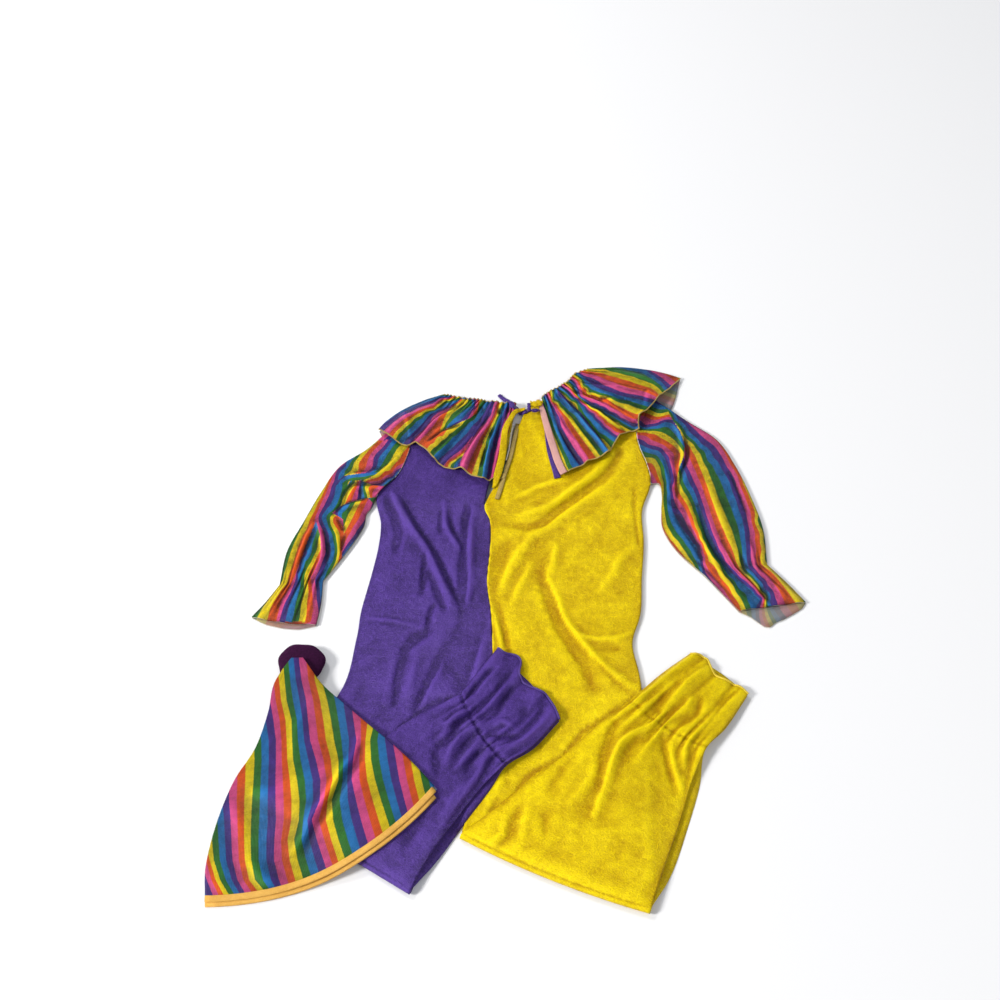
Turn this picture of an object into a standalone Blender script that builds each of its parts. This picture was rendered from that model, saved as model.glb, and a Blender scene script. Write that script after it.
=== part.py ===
# Child's clown costume, laid on its front with its back up: a jumpsuit in two colours
# with a striped ruffle collar and striped sleeves, both legs folded up at the knee,
# and the striped cone hat that goes with it, pressed flat, lying over one leg.
# Metres, +Z up, +X to the viewer's right, +Y towards the collar. The table is z = 0 and
# the origin is the middle of the costume's box, at the table.

from collections import namedtuple

import bmesh
import bpy
import numpy as np

# Driving sizes, in millimetres
MM = 0.001
WALL = 1.5                # thickness of the cloth
GAP = 0.35                # clearance between pieces that lie on each other
SEAM_GAP = 0.45           # and between pieces that lie beside each other at a seam
MIDDLE = (25.7, -135.7)   # middle of the costume's box on the drafting table below
KNEE_ROLL = 4.0           # how far the leg bulges beyond its knee fold
KNEE_INSET = 3.0          # how far the inner layers stop short of the knee fold
HEM_STEP = 9.0            # how far the inner layer shows beyond the calf's outer edge
INNER_LOFT = 2.4          # the folded inner layers of a leg, above one wall
PANEL_LOFT = 1.0          # how far a back panel stands off the front one
SLEEVE_LOFT = 2.4         # how far a sleeve's upper half stands off its lower half
CALF_LOFT = 1.2
HAT_LOFT = 1.6
FRILL_WAVE = 2.4          # height of the waves in the ankle and wrist frills
RUFFLE_WAVE = 3.2         # height of the collar's pleats at the hem
RUFFLE_PLEATS = 7
FRILL_WAVES = 3
TAPE_WALL = 2.0           # folded tape of the bindings and ties
BINDING_WIDTH = 6.5
BINDING_SHOWS = 4.0       # how far the lower binding shows beyond the upper one
TIE_WIDTH = 7.0
NECK_TAPE_WIDTH = 6.0
POMPON = {"x": -207.0, "y": -213.0, "radius_x": 24.5, "radius_y": 23.0, "radius_z": 7.5}
KNOT = {"x": 38.0, "y": 124.0, "radius_x": 9.0, "radius_y": 6.0, "radius_z": 3.5}

# The drafting table: sections of each piece in plan, in millimetres. Each row runs from
# the piece's left edge to its right edge, and bow is how far its middle stands off the
# straight line between them, to the left of the direction from left to right.
Row = namedtuple("Row", "left_x left_y right_x right_y bow")

# Body panels from the shoulder to the knee fold; row 4 is the underarm and the foot of
# the back slit, row 10 the crotch. Both halves share the centre seam in rows 4 to 10.
PURPLE_BODY = [
    Row(-112, 118, 20, 128, 22),
    Row(-105, 79, 6, 85, 0),
    Row(-109, 54, -4, 48, 0),
    Row(-119, 30, -12, 22, 0),
    Row(-140, 2, -17, -10, 0),
    Row(-134, -34, -11, -34, 0),
    Row(-135, -66, -11, -70, 0),
    Row(-141, -105, -14, -112, 0),
    Row(-149, -148, -10, -148, 0),
    Row(-152, -182, -8, -188, 0),
    Row(-163, -240, -8, -262, 0),
    Row(-203, -300, -42, -352, 0),
    Row(-244, -359, -85, -453, 0),
]
YELLOW_BODY = [
    Row(31, 129, 178, 150, 22),
    Row(20, 98, 162, 98, 0),
    Row(12, 66, 163, 72, 0),
    Row(4, 38, 170, 48, 0),
    Row(-17, -10, 173, 20, 0),
    Row(-11, -34, 161, -17, 0),
    Row(-11, -70, 160, -62, 0),
    Row(-14, -112, 155, -107, 0),
    Row(-10, -148, 151, -150, 0),
    Row(-8, -188, 140, -188, 0),
    Row(-8, -262, 146, -238, 0),
    Row(-22, -328, 146, -350, 0),
    Row(-39, -399, 139, -471, -5),
]
UNDERARM_ROW = 4

# Calves from the knee fold to the elastic at the ankle, then the frill to its hem.
PURPLE_CALF = [
    Row(-244, -359, -85, -453, 0),
    Row(-190, -336, -66, -417, 0),
    Row(-138, -312, -44, -385, 0),
    Row(-88, -276, -19, -351, 0),
    Row(-40, -249, 6, -326, -6),
]
PURPLE_FRILL = [
    Row(-40, -249, 6, -326, -6),
    Row(-24, -226, 33, -308, 0),
    Row(-6, -201, 60, -278, 6),
]
YELLOW_CALF = [
    Row(-39, -399, 139, -471, -5),
    Row(10, -358, 155, -430, -3),
    Row(62, -317, 174, -384, 0),
    Row(98, -284, 188, -345, 0),
    Row(132, -257, 206, -307, -5),
]
YELLOW_FRILL = [
    Row(132, -257, 206, -307, -5),
    Row(165, -226, 230, -282, 0),
    Row(199, -200, 255, -247, 4),
]

# Sleeves from the armhole to the elastic at the wrist, then the frill to its hem: left
# is the outer edge, right the inner one. The armhole's own curve is the body panel's.
LEFT_SLEEVE = [
    Row(-112, 118, -140, 2, 0),
    Row(-154, 72, -146, -14, 0),
    Row(-186, 45, -151, -22, 0),
    Row(-205, 8, -153, -38, 0),
    Row(-221, -32, -163, -60, 0),
    Row(-236, -72, -178, -86, 0),
    Row(-240, -115, -193, -110, 0),
]
LEFT_CUFF = [
    Row(-240, -115, -193, -110, 0),
    Row(-253, -137, -193, -138, 0),
    Row(-266, -155, -196, -165, -3),
]
RIGHT_SLEEVE = [
    Row(178, 150, 173, 20, 0),
    Row(223, 112, 183, 20, 0),
    Row(256, 83, 185, 4, 0),
    Row(274, 44, 183, -16, 0),
    Row(286, 4, 183, -42, 0),
    Row(295, -42, 197, -72, 0),
    Row(294, -89, 224, -103, -3),
]
RIGHT_CUFF = [
    Row(294, -89, 224, -103, -3),
    Row(313, -113, 238, -122, 0),
    Row(330, -137, 257, -148, 0),
]
# How far the lower half of a cuff shows beyond the upper one, most near its inner edge
MOUTH_SHOWS = {"left": 5.0, "right": 22.0}
MOUTH_SKEW = 0.5

# Ruffle collar, rib by rib from the back slit round the shoulder to the front: left is
# the neck edge, right the hem. The last back rib and the first front rib are the fold.
LEFT_RUFFLE_BACK = [
    Row(20, 134, -15, 18, 0),
    Row(4, 136, -38, 30, 0),
    Row(-12, 138, -62, 42, 0),
    Row(-28, 142, -86, 62, 0),
    Row(-42, 145, -108, 75, 0),
    Row(-54, 148, -131, 85, -4),
    Row(-62, 149, -143, 99, -11),
]
LEFT_RUFFLE_FRONT = [
    Row(-62, 147, -143, 98, -10),
    Row(-55, 138, -133, 79, 0),
    Row(-38, 126, -100, 38, 0),
    Row(-14, 114, -50, 8, 0),
    Row(14, 108, 8, -6, 0),
]
RIGHT_RUFFLE_BACK = [
    Row(46, 137, 75, 25, 0),
    Row(55, 144, 98, 42, 0),
    Row(67, 155, 122, 58, 0),
    Row(80, 165, 145, 82, 0),
    Row(94, 178, 162, 103, 0),
    Row(106, 187, 180, 128, 0),
    Row(114, 194, 197, 147, 4),
    Row(120, 197, 220, 179, 9),
]
RIGHT_RUFFLE_FRONT = [
    Row(120, 195, 220, 178, 9),
    Row(108, 180, 206, 132, 0),
    Row(90, 160, 175, 80, 0),
    Row(62, 135, 125, 35, 0),
    Row(34, 112, 75, 2, 0),
]

# The hat from its tip to its brim.
HAT = [
    Row(-216, -212, -204, -212, 0),
    Row(-232, -238, -184, -237, 0),
    Row(-236, -268, -158, -260, 0),
    Row(-245, -307, -132, -284, 0),
    Row(-262, -342, -108, -306, -6),
    Row(-274, -384, -88, -325, -12),
    Row(-279, -425, -73, -341, -20),
    Row(-276, -455, -64, -351, -28),
]

# Free tapes at the neck: a row for each turn of the tape's middle line.
Point = namedtuple("Point", "x y")
YELLOW_TIE = [Point(27, 124), Point(14, 116), Point(6, 100), Point(1, 62), Point(-10, 10)]
PURPLE_TIE_UP = [Point(35, 125), Point(15, 138), Point(-2, 152)]
PURPLE_TIE_DOWN = [Point(44, 121), Point(53, 80), Point(63, 21)]
PINK_TIE = [Point(51, 126), Point(61, 88), Point(76, 27)]

# The largest folds: a soft ridge along a line, on the piece named.
Fold = namedtuple("Fold", "piece from_x from_y to_x to_y width height")
FOLDS = [
    Fold("back_purple", -122, 14, -66, -100, 16, 2.2),
    Fold("back_purple", -40, -10, -34, -120, 14, 2.0),
    Fold("back_yellow", 160, 44, 5, -34, 16, 2.4),
    Fold("back_yellow", 62, -90, 150, -226, 15, 2.4),
    Fold("front_yellow", 128, -282, 20, -380, 18, 2.0),
    Fold("front_yellow", 176, -310, 120, -420, 18, 1.8),
    Fold("front_purple", -22, -290, -120, -380, 16, 1.8),
    Fold("sleeve_left_upper", -196, -10, -152, -22, 12, 1.2),
    Fold("sleeve_left_upper", -165, 40, -128, 28, 12, 1.2),
    Fold("sleeve_right_upper", 190, 100, 214, 40, 13, 1.2),
    Fold("hat_upper", -142, -300, -196, -400, 14, 1.8),
]

COLOURS = {
    "purple": (0.102, 0.054, 0.305),
    "yellow": (0.807, 0.552, 0.006),
    "rainbow": (0.610, 0.170, 0.060),
    "amber": (0.955, 0.515, 0.071),
    "plum": (0.051, 0.000, 0.048),
    "pink": (0.830, 0.460, 0.420),
}

# Net of heights over the drafting table
NET_STEP = 1.25
NET_LOW = np.array([-310.0, -500.0])
NET_SIZE = (540, 590)
RISE_ROUNDS = 30
SINK_ROUNDS = 60
BRIDGING = 2              # rounds in which a panel rises over small hollows; none on a tape


def through(rows, count):
    """A smooth curve through the rows of a table, read at evenly spaced places."""
    table = np.array(rows, float)
    slopes = np.gradient(table, axis=0)
    place = np.linspace(0, len(table) - 1, count)
    low = np.minimum(place.astype(int), len(table) - 2)
    u = (place - low)[:, None]
    return (
        (2 * u**3 - 3 * u**2 + 1) * table[low]
        + (u**3 - 2 * u**2 + u) * slopes[low]
        + (3 * u**2 - 2 * u**3) * table[low + 1]
        + (u**3 - u**2) * slopes[low + 1]
    )


def plan_of(rows, along, across):
    """The plan of a piece: along + 1 sections of across + 1 points, from its table."""
    table = through(rows, along + 1)
    left, right, bow = table[:, None, 0:2], table[:, None, 2:4], table[:, None, 4:5]
    s = np.linspace(0, 1, across + 1)[None, :, None]
    run = right - left
    square = np.stack([-run[..., 1], run[..., 0]], axis=-1)
    square /= np.maximum(np.linalg.norm(square, axis=-1, keepdims=True), 1e-9)
    return left + run * s + square * bow * 4 * s * (1 - s)


class Pile:
    """The top of everything laid so far, as heights on a square net."""

    def __init__(self):
        self.height = np.zeros(NET_SIZE)

    def cells(self, plan):
        return (plan - NET_LOW) / NET_STEP

    def at(self, plan):
        """The height under each point: the highest of the four places round it."""
        low = np.floor(self.cells(plan)).astype(int)
        found = [self.height[low[..., 0] + i, low[..., 1] + j] for i in (0, 1) for j in (0, 1)]
        return np.max(found, axis=0)

    def lay(self, points):
        """Adds a piece's upper side to the pile."""
        where, _ = samples(points)
        cell = np.rint(self.cells(where[:, :2])).astype(int)
        np.maximum.at(self.height, (cell[:, 0], cell[:, 1]), where[:, 2])


def triangles(rows, columns):
    """Both ways of splitting each square of a grid into triangles."""
    number = np.arange(rows * columns).reshape(rows, columns)
    a, b = number[:-1, :-1].ravel(), number[:-1, 1:].ravel()
    c, d = number[1:, :-1].ravel(), number[1:, 1:].ravel()
    return np.concatenate([np.stack(t, axis=1) for t in ((a, b, d), (a, d, c), (a, b, c), (b, d, c))])


SHARE_STEPS = 14
SHARES = np.array([
    (i, j, SHARE_STEPS - i - j)
    for i in range(SHARE_STEPS + 1)
    for j in range(SHARE_STEPS + 1 - i)
]) / SHARE_STEPS


def samples(points):
    """Points spread over every triangle of a grid, and the triangles themselves."""
    corners = triangles(*points.shape[:2])
    flat = points.reshape(-1, points.shape[-1])
    return np.einsum("wk,tkc->twc", SHARES, flat[corners]).reshape(-1, points.shape[-1]), corners


def settle(pile, plan):
    """Underside heights of a sheet that comes to rest on the pile all over: its points
    rise until no part of a face is too low, then sink as far as the faces let them."""
    where, corners = samples(plan)
    below = pile.at(where)
    floor = np.where(below > 0, below + GAP, 0.0).reshape(len(corners), len(SHARES))
    below = pile.at(plan).ravel()
    z = np.where(below > 0, below + GAP, 0.0)
    pull = SHARES / (SHARES**2).sum(axis=1, keepdims=True)
    for _ in range(RISE_ROUNDS):
        lack = np.maximum(floor - z[corners] @ SHARES.T, 0)
        rise = np.zeros_like(z)
        for k in range(3):
            np.maximum.at(rise, corners[:, k], (lack * pull[:, k]).max(axis=1))
        z += rise
    for _ in range(SINK_ROUNDS):
        slack = np.maximum(z[corners] @ SHARES.T - floor, 0)
        sink = np.full_like(z, np.inf)
        for k in range(3):
            room = slack / np.maximum(3 * SHARES[:, k], 1e-6)
            np.minimum.at(sink, corners[:, k], room.min(axis=1))
        z -= sink
    return z.reshape(plan.shape[:2])


def ease(z, rounds=BRIDGING):
    """Cloth bridges small hollows: each point rises to the mean of those beside it."""
    for _ in range(rounds):
        wide = np.pad(z, 1, mode="edge")
        mean = (wide[:-2, 1:-1] + wide[2:, 1:-1] + wide[1:-1, :-2] + wide[1:-1, 2:]) / 4
        z = np.maximum(z, mean)
    return z


def with_height(plan, z):
    return np.concatenate([plan, z[..., None]], axis=-1)


def normals(points):
    """Unit normals of a grid, from the directions of its rows and columns."""
    down, across = np.gradient(points, axis=0), np.gradient(points, axis=1)
    n = np.cross(across, down)
    return n / np.maximum(np.linalg.norm(n, axis=-1, keepdims=True), 1e-9)


def faced(points, up):
    """The grid with its columns reversed if it faces the wrong way."""
    return points if (normals(points)[..., 2].mean() > 0) == up else points[:, ::-1]


def swell(shape, power=2.0):
    """How a sheet stands off the one below: nothing at its edges, most in the middle."""
    s = np.linspace(-1, 1, shape[1])[None, :]
    t = np.linspace(-1, 1, shape[0])[:, None]
    return (1 - np.abs(s) ** power) * (1 - np.abs(t) ** 6)


def folds(piece, plan):
    """Heights of the ridges that the folds table gives a piece."""
    rise = np.zeros(plan.shape[:2])
    for fold in FOLDS:
        if fold.piece != piece:
            continue
        start, end = np.array([fold.from_x, fold.from_y]), np.array([fold.to_x, fold.to_y])
        run = end - start
        share = np.clip(((plan - start) @ run) / (run @ run), 0, 1)
        off = np.linalg.norm(plan - start - share[..., None] * run, axis=-1)
        ridge = np.exp(-((off / fold.width) ** 2)) * np.sin(np.pi * (0.1 + 0.8 * share))
        rise = np.maximum(rise, fold.height * ridge)
    return rise


def material(name):
    look = bpy.data.materials.get(name) or bpy.data.materials.new(name)
    look.use_nodes = True
    shader = look.node_tree.nodes["Principled BSDF"]
    shader.inputs["Base Color"].default_value = (*COLOURS[name], 1)
    shader.inputs["Roughness"].default_value = 0.9 if name == "plum" else 0.5
    shader.inputs["Metallic"].default_value = 0
    return look


def placed(points):
    """Drafting table to the costume's frame, in metres."""
    flat = points.reshape(-1, 3) - np.array([*MIDDLE, 0.0])
    return flat * MM


def cloth(name, points, colour, wall=WALL, loft=None):
    """A grid moved to its points, whose wall lies behind its faces. Where loft is given,
    it is the wall's own thickness at each point."""
    rows, columns = points.shape[:2]
    mesh = bpy.data.meshes.new(name)
    bm = bmesh.new()
    bmesh.ops.create_grid(bm, x_segments=columns - 1, y_segments=rows - 1, size=1)
    for vert, place in zip(bm.verts, placed(points)):
        vert.co = place
    bm.to_mesh(mesh)
    bm.free()
    piece = bpy.data.objects.new(name, mesh)
    piece.data.materials.append(material(colour))
    bpy.data.collections["clown_costume"].objects.link(piece)
    shell = piece.modifiers.new("wall", "SOLIDIFY")
    shell.offset = -1
    shell.thickness = wall * MM
    if loft is not None:
        group = piece.vertex_groups.new(name="loft")
        for number, thickness in enumerate(loft.ravel()):
            group.add([number], thickness / loft.max(), "REPLACE")
        shell.vertex_group = group.name
        shell.thickness = loft.max() * MM
    return piece


def lay_sheet(pile, name, plan, colour, rise=0.0, wall=WALL, bridging=BRIDGING):
    """A sheet that rests on the pile, raised by rise; its wall stands on its underside."""
    z = ease(settle(pile, plan), bridging) + rise + folds(name, plan)
    under = faced(with_height(plan, z), up=False)
    top = under - normals(under) * wall
    pile.lay(top)
    cloth(name, under, colour, wall)


def armhole(body, edge, across):
    """The curve that a sleeve is set into: the body panel's side down to the underarm,
    moved off by the seam's gap."""
    sides = through(body, (len(body) - 1) * across // UNDERARM_ROW + 1)[:across + 1]
    if edge == "left":
        return sides[:, 0:2] - np.array([SEAM_GAP, 0])
    return sides[:, 2:4] + np.array([SEAM_GAP, 0])


def sleeve_plan(sleeve, cuff, body, edge, shows, across):
    """Sleeve and frill in one: its first section is the armhole, whose curve fades out
    down the sleeve, and its hem is moved out by shows."""
    upper = plan_of(sleeve, SLEEVE_ALONG, across)
    seam = armhole(body, edge, across)
    fade = np.clip(1 - np.arange(SLEEVE_ALONG + 1) / (0.4 * SLEEVE_ALONG), 0, 1)[:, None, None]
    upper += (seam - upper[0])[None] * fade
    frill = plan_of(cuff, CUFF_ALONG, across)
    outward = frill[-1] - frill[0]
    outward /= np.linalg.norm(outward, axis=-1, keepdims=True)
    s = np.linspace(-1, 1, across + 1)[:, None]
    frill[-1] += outward * shows * (1 - s**2) * (1 + MOUTH_SKEW * s)
    return np.concatenate([upper, frill[1:]])


def frill_waves(shape, frill_rows, height, waves):
    """Waves that grow from the elastic to the hem, over the last rows of a piece."""
    s = np.linspace(0, 1, shape[1])[None, :]
    grow = np.clip((np.arange(shape[0]) - (shape[0] - 1 - frill_rows)) / frill_rows, 0, 1)[:, None]
    return height * grow * (0.5 - 0.5 * np.cos(2 * np.pi * waves * s))


# Faces along and across each grid. A sleeve's faces meet the body's one to one.
BODY_ALONG, BODY_ACROSS = 24, 8
FRONT_ALONG = 12
CALF_ALONG, FRILL_ALONG, CALF_ACROSS = 7, 3, 12
INNER_ACROSS = 8
SLEEVE_ALONG, CUFF_ALONG, SLEEVE_ACROSS, UNDER_SLEEVE_ACROSS = 11, 3, 8, 4
RUFFLE_ALONG, RUFFLE_DOWN = 26, 5
HAT_ALONG, HAT_ACROSS = 13, 8


def body_plan(body, side, along, across):
    """A body panel in plan, with its centre edge moved off the seam's middle."""
    plan = plan_of(body, along, across)
    s = np.linspace(0, 1, across + 1)[None, :]
    plan[..., 0] += SEAM_GAP / 2 * (-s if side == "left" else 1 - s)
    return plan


def out_of_knee(fold_line, leg):
    """The direction in plan square to the knee fold, away from the leg."""
    ends = fold_line[-1] - fold_line[0]
    square = np.array([ends[1], -ends[0]]) / np.linalg.norm(ends)
    return square * np.sign(square @ (fold_line.mean(0) - leg.mean(0)))


def front_run(pile, body, side):
    """A front panel's lower run, on the table, from the shoulder to the knee fold."""
    plan = body_plan(body, side, FRONT_ALONG, CALF_ACROSS)
    plan[-1] -= out_of_knee(plan[-1], plan[-2]) * KNEE_ROLL
    return with_height(plan, settle(pile, plan))


def knee_turn(low, high, out):
    """Sections round the knee fold, on a half ellipse from the lower run to the calf."""
    middle, half = (low + high) / 2, (high - low) / 2
    turn = []
    for angle in np.radians((-50, 0, 50)):
        turn.append(middle + half * np.sin(angle) + out * KNEE_ROLL * np.cos(angle))
    return np.stack(turn)


def fold_leg(pile, name, colour, lower, calf, frill):
    """The front panel below the knee turns back over the leg: the inner layers first, as
    one rounded solid whose edge shows as a layer, then the calf and its frill."""
    plan = np.concatenate([
        plan_of(calf, CALF_ALONG, CALF_ACROSS),
        plan_of(frill, FRILL_ALONG, CALF_ACROSS)[1:],
    ])
    plan[0] = lower[-1, :, :2]
    out = out_of_knee(plan[0], plan[1])

    step = [0, HEM_STEP, HEM_STEP, HEM_STEP, 0]
    shown = [row._replace(right_x=row.right_x + more) for row, more in zip(calf, step)]
    inner = plan_of(shown + frill[1:], CALF_ALONG + FRILL_ALONG, INNER_ACROSS)
    inner[0] -= out * (KNEE_ROLL + KNEE_INSET)
    under = faced(with_height(inner, ease(settle(pile, inner))), up=False)
    s = np.linspace(-1, 1, INNER_ACROSS + 1)[None, :]
    t = np.arange(len(inner))[:, None] / CALF_ALONG
    loft = WALL + INNER_LOFT * (1 - s**4) * np.clip(4 * (1 - t), 0, 1) * np.clip(0.4 + 3 * t, 0, 1)
    pile.lay(under - normals(under) * loft[..., None])
    cloth("leg_layers_" + colour, under, colour, loft=loft)

    z = ease(settle(pile, plan)) + folds(name, plan) + CALF_LOFT * swell(plan.shape)
    z += frill_waves(plan.shape, FRILL_ALONG, FRILL_WAVE, FRILL_WAVES)
    z[0] = z[0].mean()
    under = with_height(plan, z)
    top = under + normals(under) * WALL * np.sign(normals(under)[..., 2].mean())
    top[0] = under[0] + np.array([0, 0, WALL])
    pile.lay(top)
    turn = knee_turn(lower[-1], top[0], np.array([*out, 0.0]))
    cloth(name, np.concatenate([lower, turn, top]), colour)


def ruffle(pile, name, rows, wave, down=RUFFLE_DOWN, along=RUFFLE_ALONG, pleats=RUFFLE_PLEATS):
    """A gathered strip: pleats deepen from the neck edge to the hem."""
    plan = plan_of(rows, along, down)
    t = np.linspace(0, 1, down + 1)[None, :]
    s = np.linspace(0, 1, along + 1)[:, None]
    rise = wave * (0.25 + 0.75 * t) * (0.5 - 0.5 * np.cos(2 * np.pi * pleats * s))
    lay_sheet(pile, name, plan, "rainbow", rise)


def heading_point(rib):
    """The middle of the neck tape on a rib, which has its upper edge on the neck edge."""
    neck, hem = np.array(rib[0:2], float), np.array(rib[2:4], float)
    return neck + (hem - neck) / np.linalg.norm(hem - neck) * NECK_TAPE_WIDTH / 2


def tape(pile, name, middle_line, colour, width, count, wall=TAPE_WALL):
    """A flat tape along a line of points, resting on the pile."""
    line = through(middle_line, count + 1)
    way = np.gradient(line, axis=0)
    side = np.stack([-way[:, 1], way[:, 0]], axis=1)
    side /= np.linalg.norm(side, axis=1, keepdims=True)
    s = np.array([-0.5, 0.5])[None, :, None]
    plan = line[:, None] + side[:, None] * s * width
    lay_sheet(pile, name, plan, colour, wall=wall, bridging=0)


def ellipsoid(pile, name, size, colour, segments, rings):
    """A round piece from a sphere, lowered until it rests on the pile."""
    radii = np.array([size["radius_x"], size["radius_y"], size["radius_z"]])
    u = np.linspace(0, 2 * np.pi, 49)[:, None]
    v = np.linspace(0, np.pi / 2, 13)[None, :]
    dome = np.stack([np.cos(u) * np.cos(v), np.sin(u) * np.cos(v), np.sin(v) + 0 * u], axis=-1)
    dome *= radii
    ground = pile.at(dome[..., :2] + np.array([size["x"], size["y"]]))
    clear = np.where(ground > 0, ground + GAP, 0.0) + dome[..., 2]
    middle = np.array([size["x"], size["y"], clear.max()])
    pile.lay(dome + middle)

    bm = bmesh.new()
    bmesh.ops.create_uvsphere(bm, u_segments=segments, v_segments=rings, radius=1)
    places = np.array([v.co for v in bm.verts]) * radii + middle
    for vert, place in zip(bm.verts, placed(places)):
        vert.co = place
    mesh = bpy.data.meshes.new(name)
    bm.to_mesh(mesh)
    bm.free()
    mesh.shade_smooth()
    mesh.materials.append(material(colour))
    piece = bpy.data.objects.new(name, mesh)
    bpy.data.collections["clown_costume"].objects.link(piece)


def hat(pile):
    """Two flat halves of a cone with a tape round the brim of each, and the pompon."""
    ellipsoid(pile, "pompon", POMPON, "plum", 16, 10)
    for half, shows in (("lower", BINDING_SHOWS), ("upper", 0.0)):
        plan = plan_of(HAT, HAT_ALONG, HAT_ACROSS)
        outward = plan[-1] - plan[-2]
        outward /= np.linalg.norm(outward, axis=-1, keepdims=True)
        plan[-1] += outward * shows
        rise = HAT_LOFT * swell(plan.shape) if half == "upper" else 0.0
        edge = plan[-1]
        strip = np.stack([
            edge + outward * SEAM_GAP,
            edge + outward * (SEAM_GAP + BINDING_WIDTH),
        ], axis=1)
        under = pile.height.copy()
        lay_sheet(pile, "hat_" + half, plan, "rainbow", rise)
        both = pile.height.copy()
        pile.height = under
        lay_sheet(pile, "hat_binding_" + half, strip, "amber", wall=TAPE_WALL)
        pile.height = np.maximum(pile.height, both)


def build():
    for old in list(bpy.data.objects):
        bpy.data.objects.remove(old, do_unlink=True)
    group = bpy.data.collections.new("clown_costume")
    bpy.context.scene.collection.children.link(group)
    pile = Pile()

    ruffle(pile, "ruffle_left_front", LEFT_RUFFLE_FRONT, 0.0, down=3, along=12)
    ruffle(pile, "ruffle_right_front", RIGHT_RUFFLE_FRONT, 0.0, down=3, along=12)

    purple_low = front_run(pile, PURPLE_BODY, "left")
    yellow_low = front_run(pile, YELLOW_BODY, "right")
    for low in (purple_low, yellow_low):
        pile.lay(low + np.array([0, 0, WALL]))

    sides = (
        ("left", LEFT_SLEEVE, LEFT_CUFF, PURPLE_BODY),
        ("right", RIGHT_SLEEVE, RIGHT_CUFF, YELLOW_BODY),
    )
    for side, sleeve, cuff, body in sides:
        plan = sleeve_plan(sleeve, cuff, body, side, MOUTH_SHOWS[side], UNDER_SLEEVE_ACROSS)
        lay_sheet(pile, "sleeve_" + side + "_lower", plan, "rainbow")

    for colour, side, body in (("purple", "left", PURPLE_BODY), ("yellow", "right", YELLOW_BODY)):
        plan = body_plan(body, side, BODY_ALONG, BODY_ACROSS)
        plan[-1] -= out_of_knee(plan[-1], plan[-2]) * (KNEE_ROLL + KNEE_INSET)
        lay_sheet(pile, "back_" + colour, plan, colour, PANEL_LOFT * swell(plan.shape))

    for side, sleeve, cuff, body in sides:
        plan = sleeve_plan(sleeve, cuff, body, side, 0.0, SLEEVE_ACROSS)
        rise = SLEEVE_LOFT * swell(plan.shape)
        rise += frill_waves(plan.shape, CUFF_ALONG, FRILL_WAVE, FRILL_WAVES)
        lay_sheet(pile, "sleeve_" + side + "_upper", plan, "rainbow", rise)

    fold_leg(pile, "front_yellow", "yellow", yellow_low, YELLOW_CALF, YELLOW_FRILL)
    fold_leg(pile, "front_purple", "purple", purple_low, PURPLE_CALF, PURPLE_FRILL)
    hat(pile)

    ruffle(pile, "ruffle_left_back", LEFT_RUFFLE_BACK, RUFFLE_WAVE)
    ruffle(pile, "ruffle_right_back", RIGHT_RUFFLE_BACK, RUFFLE_WAVE)

    for side, ribs, colour in (
        ("left", LEFT_RUFFLE_BACK, "purple"),
        ("right", RIGHT_RUFFLE_BACK, "yellow"),
    ):
        heading = [heading_point(rib) for rib in ribs]
        tape(pile, "neck_tape_" + side, heading, colour, NECK_TAPE_WIDTH, 12)
    tape(pile, "tie_purple_down", PURPLE_TIE_DOWN, "purple", TIE_WIDTH, 12)
    tape(pile, "tie_pink", PINK_TIE, "pink", TIE_WIDTH, 12)
    tape(pile, "tie_yellow", YELLOW_TIE, "yellow", TIE_WIDTH, 16)
    tape(pile, "tie_purple_up", PURPLE_TIE_UP, "purple", TIE_WIDTH, 6)
    ellipsoid(pile, "tie_knot", KNOT, "purple", 12, 8)


build()
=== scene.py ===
import bpy
import numpy as np
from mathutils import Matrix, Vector


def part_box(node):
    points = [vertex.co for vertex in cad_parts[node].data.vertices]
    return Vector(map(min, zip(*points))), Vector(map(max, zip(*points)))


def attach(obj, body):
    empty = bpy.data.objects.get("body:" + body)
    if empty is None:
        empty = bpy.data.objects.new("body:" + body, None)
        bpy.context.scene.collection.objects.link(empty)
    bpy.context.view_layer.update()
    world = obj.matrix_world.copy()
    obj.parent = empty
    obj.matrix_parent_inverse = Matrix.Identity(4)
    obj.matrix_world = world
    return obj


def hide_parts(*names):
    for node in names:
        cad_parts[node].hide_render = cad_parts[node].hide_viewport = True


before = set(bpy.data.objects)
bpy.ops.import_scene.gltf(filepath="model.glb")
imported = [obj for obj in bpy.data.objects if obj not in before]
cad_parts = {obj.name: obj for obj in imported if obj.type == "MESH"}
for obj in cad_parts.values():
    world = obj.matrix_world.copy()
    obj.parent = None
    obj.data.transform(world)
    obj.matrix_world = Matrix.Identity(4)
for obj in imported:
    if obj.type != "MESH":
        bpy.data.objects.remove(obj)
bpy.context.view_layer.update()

mm = 0.001
draft = {
    "middle": np.array([25.7, -135.7, 0.0]),   # middle of the costume on the drafting table
    "wall": 1.5,                               # cloth as stacked in the model
    "gap": 0.35,                               # between one layer and the next
    "seam": 0.45,                              # between two panels side by side
    "kneeRoll": 4.0,                           # how far the fold at the knee rounds out
    "kneeInset": 4.0,                          # layers inside stop this far short of the fold
    "foldedHeight": 7.0,                       # height of the calf over the lower run there
    "panelHeight": 7.0, "legHeight": 12.0, "hatHeight": 11.0,   # heights where creases are read
}


# camera and light
view = {"distance": 1.45, "elevation": 55.0, "halfAngle": 0.394, "sensor": 36.0,
        "half": 500}   # half the side of the frame that the places are read in


def toFrame(points):
    # drafting table in mm to the model's frame in metres
    return (points - draft["middle"]) * mm


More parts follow.
